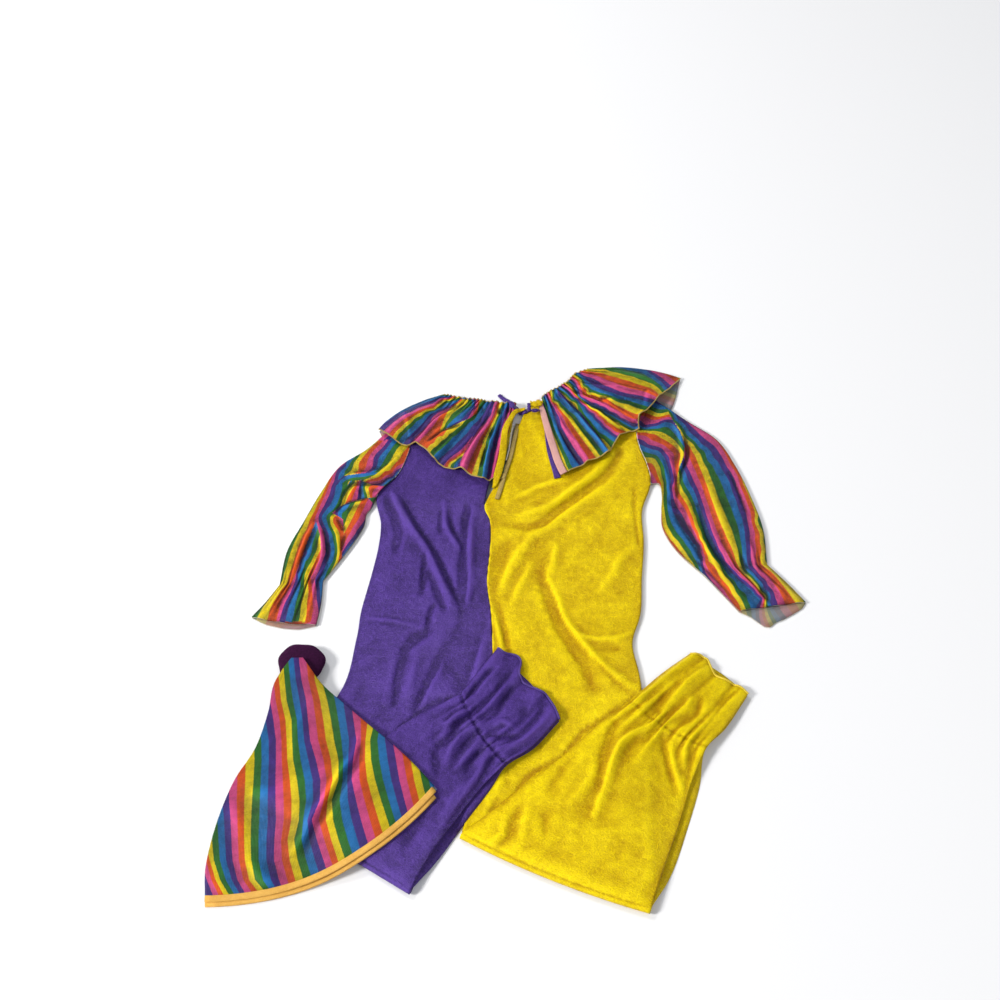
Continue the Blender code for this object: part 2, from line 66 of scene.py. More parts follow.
def addCamera():
    # on a circle round the costume's middle, raised by the elevation, looking at it
    target = Vector(toFrame(np.zeros(3)))
    tilt = np.radians(view["elevation"])
    back = Vector((0, -np.cos(tilt), np.sin(tilt))) * view["distance"]
    data = bpy.data.cameras.new("mainCamera")
    data.sensor_width = view["sensor"]
    data.lens = view["sensor"] / 2 / view["halfAngle"]
    camera = bpy.data.objects.new("mainCamera", data)
    camera.location = target + back
    camera.rotation_euler = (-back).to_track_quat("-Z", "Y").to_euler()
    bpy.context.collection.objects.link(camera)
    bpy.context.scene.camera = camera


lamps = [
    # name, place, target, size, power, colour
    ("keyLamp", (-3.4, -0.9, 2.4), (0.0, 0.0, 0.0), 0.95, 178.0, (1.0, 0.985, 0.96)),
    ("fillLamp", (1.8, -1.4, 3.2), (0.0, 0.0, 0.0), 2.8, 26.0, (0.95, 0.975, 1.0)),
    ("glossLamp", (-1.5, 2.3, 2.7), (0.0, 0.0, 0.0), 0.90, 46.0, (1.0, 1.0, 1.0)),
]


def addLamps():
    # square lamps turned to their targets, and a pale, even world
    for name, place, target, size, power, colour in lamps:
        data = bpy.data.lights.new(name, "AREA")
        data.energy, data.size, data.color = power, size, colour
        lamp = bpy.data.objects.new(name, data)
        lamp.location = place
        lamp.rotation_euler = (Vector(target) - Vector(place)).to_track_quat("-Z", "Y").to_euler()
        bpy.context.collection.objects.link(lamp)
    world = bpy.data.worlds.new("studio")
    world.use_nodes = True
    world.node_tree.nodes["Background"].inputs["Color"].default_value = (0.93, 0.95, 1.0, 1)
    world.node_tree.nodes["Background"].inputs["Strength"].default_value = 0.38
    bpy.context.scene.world = world
    bpy.context.scene.view_settings.view_transform = "Standard"   # printed colours as they are


def addNode(tree, kind, **settings):
    # a setting is an input's value where there is such an input, and a property elsewhere
    node = tree.nodes.new(kind)
    for key, value in settings.items():
        if key in node.inputs.keys():
            node.inputs[key].default_value = value
        else:
            setattr(node, key, value)
    return node


def mathNode(tree, operation, first, second=None):
    # numbers are set on the node, sockets are linked to it
    node = addNode(tree, "ShaderNodeMath", operation=operation)
    for slot, value in ((0, first), (1, second)):
        if value is None:
            continue
        if isinstance(value, (int, float)):
            node.inputs[slot].default_value = value
        else:
            tree.links.new(value, node.inputs[slot])
    return node.outputs[0]


def newGroup(name, inputs, outputs):
    group = bpy.data.node_groups.new(name, "ShaderNodeTree")
    for label, kind, default in inputs:
        socket = group.interface.new_socket(name=label, in_out="INPUT", socket_type=kind)
        if default is not None:
            socket.default_value = default
    for label, kind in outputs:
        group.interface.new_socket(name=label, in_out="OUTPUT", socket_type=kind)
    return group, group.nodes.new("NodeGroupInput"), group.nodes.new("NodeGroupOutput")


def knitGroup():
    # Cloth is the cut's own coordinates in mm. Height is wales, courses and crinkle;
    # Tone is a soft random mottle with fine grain, painted glints and thin painted highlight lines, about 0.5
    # in the mean.
    group, given, out = newGroup(
        "knitSurface",
        [("Cloth", "NodeSocketVector", None), ("Wale", "NodeSocketFloat", 0.9),
         ("Glint", "NodeSocketFloat", 0.5), ("Crinkle", "NodeSocketFloat", 1.0)],
        [("Height", "NodeSocketFloat"), ("Tone", "NodeSocketFloat")],
    )
    link = group.links.new
    apart = addNode(group, "ShaderNodeSeparateXYZ")
    link(given.outputs["Cloth"], apart.inputs[0])
    turn = mathNode(group, "DIVIDE", 6.2832, given.outputs["Wale"])
    wales = mathNode(group, "SINE", mathNode(group, "MULTIPLY", apart.outputs["X"], turn))
    courses = mathNode(group, "SINE", mathNode(group, "MULTIPLY", apart.outputs["Y"], turn))
    loops = mathNode(group, "ADD", mathNode(group, "MULTIPLY", wales, 0.10),
                     mathNode(group, "MULTIPLY", courses, 0.06))

    def noise(scale, detail, rough):
        node = addNode(group, "ShaderNodeTexNoise", Scale=scale, Detail=detail, Roughness=rough)
        link(given.outputs["Cloth"], node.inputs["Vector"])
        return node.outputs[0]

    fine, mid, broad = noise(0.75, 2.0, 0.75), noise(0.16, 2.0, 0.6), noise(0.030, 1.0, 0.5)
    apart = mathNode(group, "ABSOLUTE", mathNode(group, "SUBTRACT", noise(0.13, 1.0, 0.5), 0.5))
    scribble = mathNode(group, "SUBTRACT", 1.0, mathNode(group, "MULTIPLY", apart, 26.0))
    scribble = mathNode(group, "MAXIMUM", scribble, 0.0)
    crinkle = mathNode(group, "ADD", mathNode(group, "MULTIPLY", fine, 0.55),
                       mathNode(group, "MULTIPLY", mid, 0.9))
    crinkle = mathNode(group, "ADD", crinkle, mathNode(group, "MULTIPLY", scribble, 0.25))
    crinkle = mathNode(group, "MULTIPLY", crinkle, given.outputs["Crinkle"])
    link(mathNode(group, "ADD", loops, crinkle), out.inputs["Height"])
    # the fine noise is random grain that also paints glints into the colour
    glint = mathNode(group, "MULTIPLY", mathNode(group, "SUBTRACT", fine, 0.5), given.outputs["Glint"])
    tone = mathNode(group, "ADD", mathNode(group, "MULTIPLY", mid, 0.50),
                    mathNode(group, "MULTIPLY", broad, 0.50))
    tone = mathNode(group, "ADD", tone, mathNode(group, "MULTIPLY", glint, 2.2))
    # thin bright scribble lines: painted highlights on the knit's crinkle
    shine = mathNode(group, "MULTIPLY", scribble, mathNode(group, "MULTIPLY", given.outputs["Glint"], 0.35))
    tone = mathNode(group, "ADD", tone, shine)
    link(tone, out.inputs["Tone"])
    return group


stripeColours = {
    "pink": (0.80, 0.085, 0.290),
    "orange": (0.86, 0.105, 0.008),
    "yellow": (0.93, 0.70, 0.004),
    "green": (0.030, 0.190, 0.022),
    "blue": (0.016, 0.190, 0.520),
    "violet": (0.070, 0.032, 0.260),
}
# dark and light copies of the printed colours: painted shade in hollows and painted light on crests
stripeShade = (0.13, 0.86)          # how much of the printed colours shows in hollows and on crests
paleGround = (0.36, 0.35, 0.28)     # the wrong side of the striped cloth


def stripeGroup():
    # Count is the stripe's number across the cloth; the six colours repeat after six.
    # A little noise moves each edge, as ink does on a knit.
    group, given, out = newGroup(
        "rainbowStripes",
        [("Count", "NodeSocketFloat", 0.0), ("Cloth", "NodeSocketVector", None)],
        [("Color", "NodeSocketColor")],
    )
    link = group.links.new
    waver = addNode(group, "ShaderNodeTexNoise", Scale=0.7, Detail=2.0)
    link(given.outputs["Cloth"], waver.inputs["Vector"])
    moved = mathNode(group, "ADD", given.outputs["Count"],
                     mathNode(group, "MULTIPLY", mathNode(group, "SUBTRACT", waver.outputs[0], 0.5), 0.14))
    share = mathNode(group, "FRACT", mathNode(group, "DIVIDE", moved, 6.0))
    ramp = addNode(group, "ShaderNodeValToRGB")
    link(share, ramp.inputs[0])
    stops = ramp.color_ramp.elements
    names = list(stripeColours)
    blur = 0.008
    places = []
    for number, name in enumerate(names):
        places += [(number / 6 + (blur if number else 0), name), ((number + 1) / 6 - blur, name)]
    while len(stops) < len(places):
        stops.new(0.5)
    for stop, (place, name) in zip(stops, places):
        stop.position = place
        stop.color = (*stripeColours[name], 1)
    link(ramp.outputs["Color"], out.inputs["Color"])
    return group


knitSurface = knitGroup()
rainbowStripes = stripeGroup()


def clothMaterial(name, base, light, settings, stripes=False, washed=0.0):
    # base and light are its darkest and lightest colours; a random mottle with painted glints, and
    # painted shade in hollows and painted light on crests, mix between them. stripes take both from
    # the printed colours. washed mixes in the pale ground of the wrong side.
    look = bpy.data.materials.new(name)
    look.use_nodes = True
    tree = look.node_tree
    link = tree.links.new
    shader = tree.nodes["Principled BSDF"]
    coords = addNode(tree, "ShaderNodeUVMap", uv_map="cloth")
    knit = addNode(tree, "ShaderNodeGroup", node_tree=knitSurface)
    knit.inputs["Glint"].default_value = settings["glint"]
    knit.inputs["Crinkle"].default_value = settings["crinkle"]
    link(coords.outputs["UV"], knit.inputs["Cloth"])
    mix = addNode(tree, "ShaderNodeMix", data_type="RGBA")
    spread = addNode(tree, "ShaderNodeMapRange")
    spread.inputs["From Min"].default_value = 0.5 - settings["contrast"]
    spread.inputs["From Max"].default_value = 0.5 + settings["contrast"]
    # painted shade: the cloth's height above its surroundings darkens hollows and lightens crests
    paintedShadeCrest = addNode(tree, "ShaderNodeAttribute", attribute_name="paintedShadeCrest")
    lifted = mathNode(tree, "ADD", knit.outputs["Tone"],
                      mathNode(tree, "MULTIPLY", paintedShadeCrest.outputs["Fac"], settings["hollows"]))
    link(lifted, spread.inputs["Value"])
    link(spread.outputs["Result"], mix.inputs["Factor"])
    if stripes:
        paint = addNode(tree, "ShaderNodeGroup", node_tree=rainbowStripes)
        count = addNode(tree, "ShaderNodeAttribute", attribute_name="stripe")
        link(count.outputs["Fac"], paint.inputs["Count"])
        link(coords.outputs["UV"], paint.inputs["Cloth"])
        for slot, gain in zip((6, 7), stripeShade):
            shade = addNode(tree, "ShaderNodeMix", data_type="RGBA", blend_type="MULTIPLY")
            shade.inputs["Factor"].default_value = 1
            shade.inputs[7].default_value = (gain, gain, gain, 1)
            link(paint.outputs["Color"], shade.inputs[6])
            link(shade.outputs[2], mix.inputs[slot])
    else:
        mix.inputs[6].default_value = (*base, 1)
        mix.inputs[7].default_value = (*light, 1)
    colour = mix.outputs[2]
    if washed:
        wash = addNode(tree, "ShaderNodeMix", data_type="RGBA")
        wash.inputs["Factor"].default_value = washed
        wash.inputs[7].default_value = (*paleGround, 1)
        link(colour, wash.inputs[6])
        colour = wash.outputs[2]
    link(colour, shader.inputs["Base Color"])
    shader.inputs["Specular IOR Level"].default_value = settings["specular"]
    shader.inputs["Specular Tint"].default_value = (*settings["shine"], 1)
    rough = addNode(tree, "ShaderNodeMapRange")
    rough.inputs["To Min"].default_value = settings["roughness"] + 0.08
    rough.inputs["To Max"].default_value = settings["roughness"] - 0.08
    link(knit.outputs["Tone"], rough.inputs["Value"])
    link(rough.outputs["Result"], shader.inputs["Roughness"])
    bump = addNode(tree, "ShaderNodeBump")
    bump.inputs["Strength"].default_value = settings["bump"]
    bump.inputs["Distance"].default_value = 0.0010
    link(knit.outputs["Height"], bump.inputs["Height"])
    link(bump.outputs["Normal"], shader.inputs["Normal"])
    return look


# hollows is how strongly height paints shade into hollows and light onto crests; glint is the fine grain with
# its painted glints
finishes = {
    "purple": {"glint": 0.70, "crinkle": 1.0, "contrast": 0.42, "hollows": 0.30,
               "specular": 0.34, "shine": (0.80, 0.70, 1.0), "roughness": 0.38, "bump": 1.0},
    "yellow": {"glint": 0.50, "crinkle": 1.0, "contrast": 0.46, "hollows": 0.36,
               "specular": 0.34, "shine": (1.0, 0.85, 0.25), "roughness": 0.36, "bump": 1.0},
    "stripe": {"glint": 0.45, "crinkle": 0.8, "contrast": 0.42, "hollows": 0.52,
               "specular": 0.30, "shine": (1.0, 1.0, 1.0), "roughness": 0.40, "bump": 0.9},
    "hat": {"glint": 0.16, "crinkle": 0.5, "contrast": 0.50, "hollows": 0.40,
            "specular": 0.22, "shine": (1.0, 1.0, 1.0), "roughness": 0.50, "bump": 0.6},
    "tape": {"glint": 0.2, "crinkle": 0.5, "contrast": 0.3, "hollows": 0.0,
             "specular": 0.35, "shine": (1.0, 1.0, 1.0), "roughness": 0.5, "bump": 0.8},
}
# plain materials: darkest and lightest colours, between which mottle, painted shade and painted light mix
materials = {
    "purple": clothMaterial("purpleKnit", (0.018, 0.006, 0.072), (0.105, 0.050, 0.325), finishes["purple"]),
    "yellow": clothMaterial("yellowKnit", (0.420, 0.210, 0.0003), (0.990, 0.760, 0.004), finishes["yellow"]),
    "stripe": clothMaterial("rainbowKnit", None, None, finishes["stripe"], stripes=True),
    "hatStripe": clothMaterial("rainbowHat", None, None, finishes["hat"], stripes=True),
    "stripeBack": clothMaterial("rainbowWrongSide", None, None, finishes["stripe"], stripes=True,
        washed=0.55),
    "amber": clothMaterial("amberTape", (0.62, 0.30, 0.040), (0.86, 0.50, 0.10), finishes["tape"]),
    "palePink": clothMaterial("palePinkTape", (0.50, 0.25, 0.22), (0.68, 0.37, 0.33), finishes["tape"]),
    "paleThread": clothMaterial("paleThread", (0.55, 0.50, 0.42), (0.75, 0.70, 0.60), finishes["tape"]),
    "tanThread": clothMaterial("tanThread", (0.20, 0.13, 0.02), (0.58, 0.42, 0.12), finishes["tape"]),
    "purpleThread": clothMaterial("purpleThread", (0.05, 0.022, 0.17), (0.10, 0.05, 0.28), finishes["tape"]),
    "yellowThread": clothMaterial("yellowThread", (0.62, 0.42, 0.01), (0.85, 0.66, 0.05), finishes["tape"]),
}
print("materials ready")


# the drafting table: the same rows as the cut
# each row: left x, left y, right x, right y, bow of the middle to the left of that way
purpleBody = [
    (-112, 118, 20, 128, 22), (-105, 79, 6, 85, 0), (-109, 54, -4, 48, 0), (-119, 30, -12, 22, 0),
    (-140, 2, -17, -10, 0), (-134, -34, -11, -34, 0), (-135, -66, -11, -70, 0),
    (-141, -105, -14, -112, 0), (-149, -148, -10, -148, 0), (-152, -182, -8, -188, 0),
    (-163, -240, -8, -262, 0), (-203, -300, -42, -352, 0), (-244, -359, -85, -453, 0),
]
yellowBody = [
    (31, 129, 178, 150, 22), (20, 98, 162, 98, 0), (12, 66, 163, 72, 0), (4, 38, 170, 48, 0),
    (-17, -10, 173, 20, 0), (-11, -34, 161, -17, 0), (-11, -70, 160, -62, 0),
    (-14, -112, 155, -107, 0), (-10, -148, 151, -150, 0), (-8, -188, 140, -188, 0),
    (-8, -262, 146, -238, 0), (-22, -328, 146, -350, 0), (-39, -399, 139, -471, -5),
]
underarmRow = 4
purpleCalf = [
    (-244, -359, -85, -453, 0), (-190, -336, -66, -417, 0), (-138, -312, -44, -385, 0),
    (-88, -276, -19, -351, 0), (-40, -249, 6, -326, -6),
]
purpleFrill = [(-40, -249, 6, -326, -6), (-24, -226, 33, -308, 0), (-6, -201, 60, -278, 6)]
yellowCalf = [
    (-39, -399, 139, -471, -5), (10, -358, 155, -430, -3), (62, -317, 174, -384, 0),
    (98, -284, 188, -345, 0), (132, -257, 206, -307, -5),
]
yellowFrill = [(132, -257, 206, -307, -5), (165, -226, 230, -282, 0), (199, -200, 255, -247, 4)]
leftSleeve = [
    (-112, 118, -140, 2, 0), (-154, 72, -146, -14, 0), (-186, 45, -151, -22, 0),
    (-205, 8, -153, -38, 0), (-221, -32, -163, -60, 0), (-236, -72, -178, -86, 0),
    (-240, -115, -193, -110, 0),
]
leftCuff = [(-240, -115, -193, -110, 0), (-253, -137, -193, -138, 0), (-266, -155, -196, -165, -3)]
rightSleeve = [
    (178, 150, 173, 20, 0), (223, 112, 183, 20, 0), (256, 83, 185, 4, 0), (274, 44, 183, -16, 0),
    (286, 4, 183, -42, 0), (295, -42, 197, -72, 0), (294, -89, 224, -103, -3),
]
rightCuff = [(294, -89, 224, -103, -3), (313, -113, 238, -122, 0), (330, -137, 257, -148, 0)]
leftRuffleFront = [
    (-62, 147, -143, 98, -10), (-55, 138, -133, 79, 0), (-38, 126, -100, 38, 0),
    (-14, 114, -50, 8, 0), (14, 108, 8, -6, 0),
]
rightRuffleFront = [
    (120, 195, 220, 178, 9), (108, 180, 206, 132, 0), (90, 160, 175, 80, 0),
    (62, 135, 125, 35, 0), (34, 112, 75, 2, 0),
]
hatRows = [
    (-216, -212, -204, -212, 0), (-232, -238, -184, -237, 0), (-236, -268, -158, -260, 0),
    (-245, -307, -132, -284, 0), (-262, -342, -108, -306, -6), (-274, -384, -88, -325, -12),
    (-279, -425, -73, -341, -20), (-276, -455, -64, -351, -28),
]

# Stripe numbers seen across the striped pieces, in the 1000 by 1000 frame: regions that folds
# part, each with its edge (None: all the rest) and places on the middle of each stripe.
sleeveStripes = {}
sleeveStripes["left"] = [
    {"edge": [(316, 521), (320, 535), (321, 550), (319, 562), (311, 577), (313, 600), (312, 622), (276, 622),
        (281, 602), (294, 578), (301, 560), (308, 540)],
     "stripes": {
        6.5: [(303, 553), (298, 566), (295, 577), (290, 590), (283, 602), (279, 613)],
        5.5: [(304, 549), (301, 560), (297, 577), (293, 590), (288, 602), (284, 614)],
        4.5: [(312, 538), (308, 547), (303, 560), (299, 575), (297, 590), (293, 602), (290, 615)],
        3.5: [(316, 540), (315, 550), (309, 562), (303, 576), (302, 590), (299, 602), (297, 615)],
        2.5: [(312, 564), (306, 577), (306, 590), (304, 602), (303, 615)],
        1.5: [(319, 556), (315, 565), (310, 577), (311, 590), (310, 605), (309, 618)],
    }},
    {"edge": [(352, 440), (345, 470), (344, 476), (352, 474), (362, 473), (372, 473), (378, 472), (370, 478),
        (360, 480), (372, 485), (383, 486), (402, 490), (415, 440)],
     "stripes": {
        3.5: [(357, 457), (350, 468)],
        2.5: [(361, 456), (356, 463), (353, 472)],
        1.5: [(367, 456), (362, 464), (360, 472)],
        0.5: [(378, 449), (371, 459), (367, 470)],
        -0.5: [(384, 449), (376, 458), (372, 470)],
        -1.5: [(393, 443), (386, 452), (381, 460), (377, 469)],
        -2.5: [(398, 444), (392, 452), (387, 461), (382, 467), (376, 472)],
        -3.5: [(405, 446), (398, 453), (392, 463), (383, 469), (376, 476), (368, 479)],
        -4.5: [(406, 454), (402, 461), (392, 471), (381, 478), (368, 481)],
        -5.5: [(404, 465), (392, 475), (382, 481), (372, 483)],
        -7.0: [(396, 473), (387, 480), (383, 484)],
    }},
    {"edge": [(380, 471), (362, 473), (344, 476), (336, 482), (336, 486), (350, 481), (366, 480)],
     "stripes": {
        -2.5: [(378, 475), (368, 477), (356, 479)],
        -1.5: [(366, 475), (352, 476), (342, 481)],
        -0.5: [(336, 484)],
    }},
    {"edge": [(350, 481), (366, 480), (372, 484), (385, 486), (385, 496), (368, 498), (350, 502), (341, 506),
        (344, 492)],
     "stripes": {
        2.5: [(343, 503), (347, 495), (352, 487), (356, 483)],
        1.5: [(350, 497), (355, 488)],
        0.5: [(355, 500), (357, 491), (359, 483)],
        -0.5: [(359, 499), (360, 490), (361, 482)],
        -1.5: [(363, 497), (362, 487)],
        -2.5: [(366, 498), (364, 490), (365, 484)],
        -3.5: [(368, 493), (366, 488), (369, 484)],
        -4.5: [(371, 490), (375, 485)],
        -5.5: [(374, 495), (380, 490)],
    }},
    {"edge": [(332, 513), (341, 506), (350, 502), (368, 498), (375, 505), (372, 520), (365, 540), (342, 562),
        (342, 545), (344, 533), (343, 519)],
     "stripes": {
        4.5: [(345, 508), (339, 513)],
        5.5: [(337, 514)],
        3.5: [(352, 504), (347, 512), (344, 519)],
        2.5: [(358, 502), (354, 509), (350, 517), (346, 526)],
        1.5: [(364, 501), (360, 508), (356, 517), (350, 527), (346, 534)],
        0.5: [(367, 510), (361, 521), (353, 534), (346, 544)],
        -0.5: [(357, 534), (350, 543), (344, 552)],
        -1.5: [(348, 549), (343, 556)],
    }},
    {"edge": None,
     "stripes": {
        6.5: [(375, 444), (360, 451), (347, 459), (338, 467), (326, 497), (320, 510), (317, 518), (320, 530),
            (323, 545), (322, 556), (317, 567), (313, 578), (315, 590), (316, 605), (315, 620)],
        5.5: [(343, 467), (337, 475), (333, 487), (331, 497), (325, 508), (320, 516), (325, 530), (327, 545),
            (326, 558), (321, 572), (317, 580), (318, 592), (319, 604)],
        4.5: [(350, 464), (340, 481), (339, 490), (336, 500), (329, 510), (324, 519), (330, 533), (333, 547),
            (331, 560), (324, 575), (321, 582)],
        3.5: [(353, 467), (345, 486), (341, 500), (334, 512), (329, 522), (334, 535), (336, 548), (335, 560),
            (328, 573)],
        2.5: [(332, 524), (335, 530), (338, 540), (339, 550), (337, 560)],
        1.5: [(335, 518), (340, 527), (342, 540), (341, 550)],
        7.5: [(338, 465), (331, 478), (326, 490), (321, 500), (316, 512), (312, 522), (306, 537), (301, 548),
            (298, 560), (294, 572), (291, 579), (285, 590), (278, 602), (273, 613)],
        8.5: [(326, 484), (320, 497), (314, 508), (307, 520), (300, 535), (295, 548), (291, 560), (287, 573),
            (285, 582), (277, 592), (270, 602), (265, 614)],
        9.5: [(303, 521), (296, 535), (290, 548), (286, 560), (282, 573), (278, 583), (268, 595), (260, 605),
            (255, 612)],
        10.5: [(283, 560), (279, 573)],
    }},
]
sleeveStripes["right"] = [
    {"edge": [(664, 400), (668, 412), (673, 420), (680, 431), (685, 445), (684, 456), (679, 468), (677, 480),
        (678, 492), (640, 492), (630, 400)],
     "stripes": {
        14.5: [(650, 412), (662, 415)],
        13.5: [(645, 415), (660, 418)],
        12.5: [(645, 418), (652, 422), (664, 419)],
        11.5: [(645, 427), (655, 425), (663, 421), (671, 421)],
        10.5: [(658, 427), (667, 424), (675, 430), (681, 439)],
        9.5: [(657, 430), (668, 432), (678, 441), (683, 449)],
        8.5: [(645, 431), (655, 432), (665, 437), (675, 444), (682, 452)],
        7.5: [(645, 434), (655, 438), (665, 443), (674, 449), (677, 460), (677, 470), (676, 484), (677, 492)],
        6.5: [(640, 437), (650, 443), (660, 446), (667, 452), (672, 463), (675, 475), (673, 490), (676, 500),
            (681, 508)],
        5.5: [(643, 443), (652, 447), (660, 449), (666, 456), (670, 468), (673, 482), (673, 496), (673, 503),
            (679, 515)],
        4.5: [(645, 449), (653, 452), (661, 457), (666, 467), (668, 480), (669, 492), (669, 500), (670, 512)],
        3.5: [(643, 454), (652, 456), (659, 462), (663, 475), (665, 487), (665, 497), (666, 510)],
        2.5: [(645, 460), (653, 460), (658, 468), (661, 480), (662, 493), (662, 505), (664, 520)],
        1.5: [(650, 467), (655, 474), (660, 484)],
        0.5: [(652, 478)],
    }},
    {"edge": None,
     "stripes": {
        21.5: [(759, 520), (765, 540), (767, 556)],
        20.5: [(735, 463), (744, 480), (752, 498), (757, 515), (762, 535), (764, 550), (763, 562),
            (779, 576), (790, 589), (799, 600)],
        19.5: [(734, 467), (741, 483), (748, 500), (753, 515), (757, 532), (759, 548), (759, 562),
            (768, 572), (777, 583), (785, 594), (789, 602)],
        18.5: [(705, 435), (715, 443), (724, 456), (732, 470), (738, 482), (743, 497), (748, 512),
            (751, 527), (752, 540), (753, 555), (757, 568), (765, 577), (772, 586), (779, 599)],
        17.5: [(680, 418), (692, 430), (704, 442), (714, 450), (721, 460), (728, 473), (734, 487),
            (739, 500), (744, 515), (747, 530), (748, 545), (749, 560), (755, 572), (764, 581), (770, 590),
            (774, 602)],
        16.5: [(662, 405), (676, 420), (688, 434), (700, 446), (710, 460), (718, 470), (724, 480),
            (731, 497), (736, 512), (741, 527), (744, 545), (745, 560), (748, 570), (757, 580), (763, 590),
            (768, 602)],
        15.5: [(660, 410), (670, 413), (676, 422), (683, 431), (693, 442), (702, 452), (709, 465),
            (716, 480), (723, 499), (729, 512), (735, 528), (739, 545), (741, 560), (745, 571)],
        14.5: [(669, 414), (675, 425), (682, 435), (692, 445), (699, 458), (703, 468), (708, 481),
            (714, 497), (720, 513), (726, 527), (732, 541), (736, 552), (740, 566)],
        13.5: [(688, 450), (693, 458), (698, 470), (703, 482), (709, 500), (714, 515), (721, 532),
            (728, 547), (733, 558), (738, 568)],
        12.5: [(688, 462), (692, 470), (696, 480), (703, 498), (708, 513), (713, 528), (719, 543),
            (724, 553), (729, 562), (735, 569)],
        11.5: [(685, 468), (689, 476), (693, 485), (699, 498), (703, 510), (708, 525), (712, 537),
            (717, 549), (724, 562), (735, 573), (745, 582), (754, 590), (762, 599)],
        10.5: [(684, 474), (687, 483), (691, 490), (696, 502), (700, 515), (704, 525), (710, 540),
            (718, 556), (730, 575), (740, 586), (752, 600)],
        9.5: [(681, 482), (685, 490), (691, 500), (695, 512), (699, 522), (704, 535), (711, 549), (720, 563),
            (729, 578), (737, 590), (744, 600)],
        8.5: [(680, 488), (685, 497), (690, 506), (694, 516), (697, 527), (701, 539), (706, 549), (713, 560),
            (720, 570), (727, 580), (733, 589), (740, 601)],
        7.5: [(677, 492), (682, 501), (688, 511), (692, 521), (697, 533), (703, 547), (706, 561), (711, 568),
            (715, 575), (722, 585), (729, 594), (735, 602)],
        6.5: [(673, 490), (676, 500), (681, 508), (686, 517), (690, 527), (697, 540), (703, 555), (706, 570),
            (711, 577), (720, 588)],
        5.5: [(671, 478), (672, 490), (673, 503), (679, 515), (685, 526), (692, 536), (699, 546), (702, 558),
            (704, 572)],
        4.5: [(668, 480), (669, 492), (669, 500), (670, 512), (676, 525), (683, 535), (690, 545), (697, 558),
            (701, 569)],
        3.5: [(664, 478), (665, 487), (665, 497), (666, 510), (669, 524), (675, 535), (683, 545), (690, 556),
            (697, 567)],
        2.5: [(661, 480), (662, 493), (662, 505), (664, 520), (669, 533), (677, 543), (684, 553), (692, 565)],
        1.5: [(660, 512), (661, 525), (666, 537), (675, 548), (684, 559)],
    }},
]

collarStripes = {}
collarStripes["left"] = [
    {"edge": [(480, 400), (477, 413), (470, 418), (461, 422), (440, 432), (442, 420), (451, 407), (461, 399)],
     "stripes": {
        8.5: [(464, 402), (457, 407), (450, 412), (446, 419), (443, 427)],
        9.5: [(470, 402), (462, 409), (455, 415), (450, 421), (445, 428)],
        10.5: [(474, 405), (466, 411), (460, 417), (453, 422), (448, 427)],
        11.5: [(474, 408), (470, 413), (466, 418), (462, 422)],
        12.5: [(475, 405), (473, 411), (471, 416)],
        13.5: [(479, 403), (478, 408), (475, 413)],
    }},
    {"edge": [(473, 436), (466, 449), (461, 460), (459, 473), (443, 466), (450, 458), (462, 449)],
     "stripes": {
        12.5: [(471, 439), (466, 446), (460, 452), (452, 457), (444, 463)],
        13.5: [(455, 459), (447, 466)],
        14.5: [(461, 456), (454, 461), (449, 467)],
        15.5: [(452, 465)],
        16.5: [(458, 461), (456, 468)],
    }},
    {"edge": None,
     "stripes": {
        -1.5: [(448, 397), (438, 397), (428, 400)],
        -0.5: [(432, 402), (415, 408), (400, 415), (390, 422), (381, 429)],
        0.5: [(436, 403), (425, 407), (414, 412), (404, 417), (396, 423), (388, 431), (385, 434)],
        1.5: [(418, 412), (408, 419), (398, 427), (391, 435)],
        2.5: [(455, 398), (446, 400), (438, 405), (433, 410), (422, 414), (411, 421), (402, 429), (395, 437)],
        3.5: [(452, 400), (446, 402), (440, 407), (434, 411), (424, 414), (415, 420), (407, 428), (400, 435)],
        4.5: [(455, 402), (449, 405), (442, 408), (433, 411), (426, 416), (419, 423), (411, 431), (404, 438)],
        5.5: [(464, 401), (456, 404), (446, 408), (438, 411), (432, 415), (428, 421), (421, 429), (412, 438),
            (408, 442)],
        6.5: [(450, 409), (441, 413), (435, 419), (430, 426), (424, 433), (417, 440)],
        7.5: [(447, 413), (441, 420), (437, 427), (431, 434), (424, 441)],
        7.85: [(442, 436), (433, 443), (427, 448)],
        8.5: [(459, 425), (451, 431), (441, 438), (432, 446), (427, 451)],
        9.5: [(474, 418), (467, 422), (460, 428), (451, 435), (443, 443), (434, 451), (431, 456)],
        10.5: [(478, 417), (472, 423), (466, 430), (459, 437), (451, 445), (443, 452), (435, 459)],
        11.5: [(489, 408), (484, 418), (477, 424), (472, 432), (466, 439), (458, 447), (450, 454),
            (442, 461)],
        12.5: [(495, 408), (493, 415), (488, 424), (481, 433), (475, 443), (470, 453), (466, 462),
            (463, 470)],
        13.5: [(490, 425), (485, 434), (480, 444), (476, 454), (472, 464), (469, 473)],
        14.5: [(484, 446), (481, 455), (478, 464), (475, 474)],
        15.5: [(487, 443), (484, 455), (481, 466), (479, 477)],
        16.5: [(503, 409), (499, 420), (495, 430), (492, 437), (488, 452), (486, 465), (484, 478)],
        17.5: [(507, 410), (502, 422), (498, 435), (495, 447), (492, 460), (490, 472)],
        18.5: [(507, 418), (504, 428), (499, 444), (496, 455), (494, 466), (492, 476)],
    }},
]
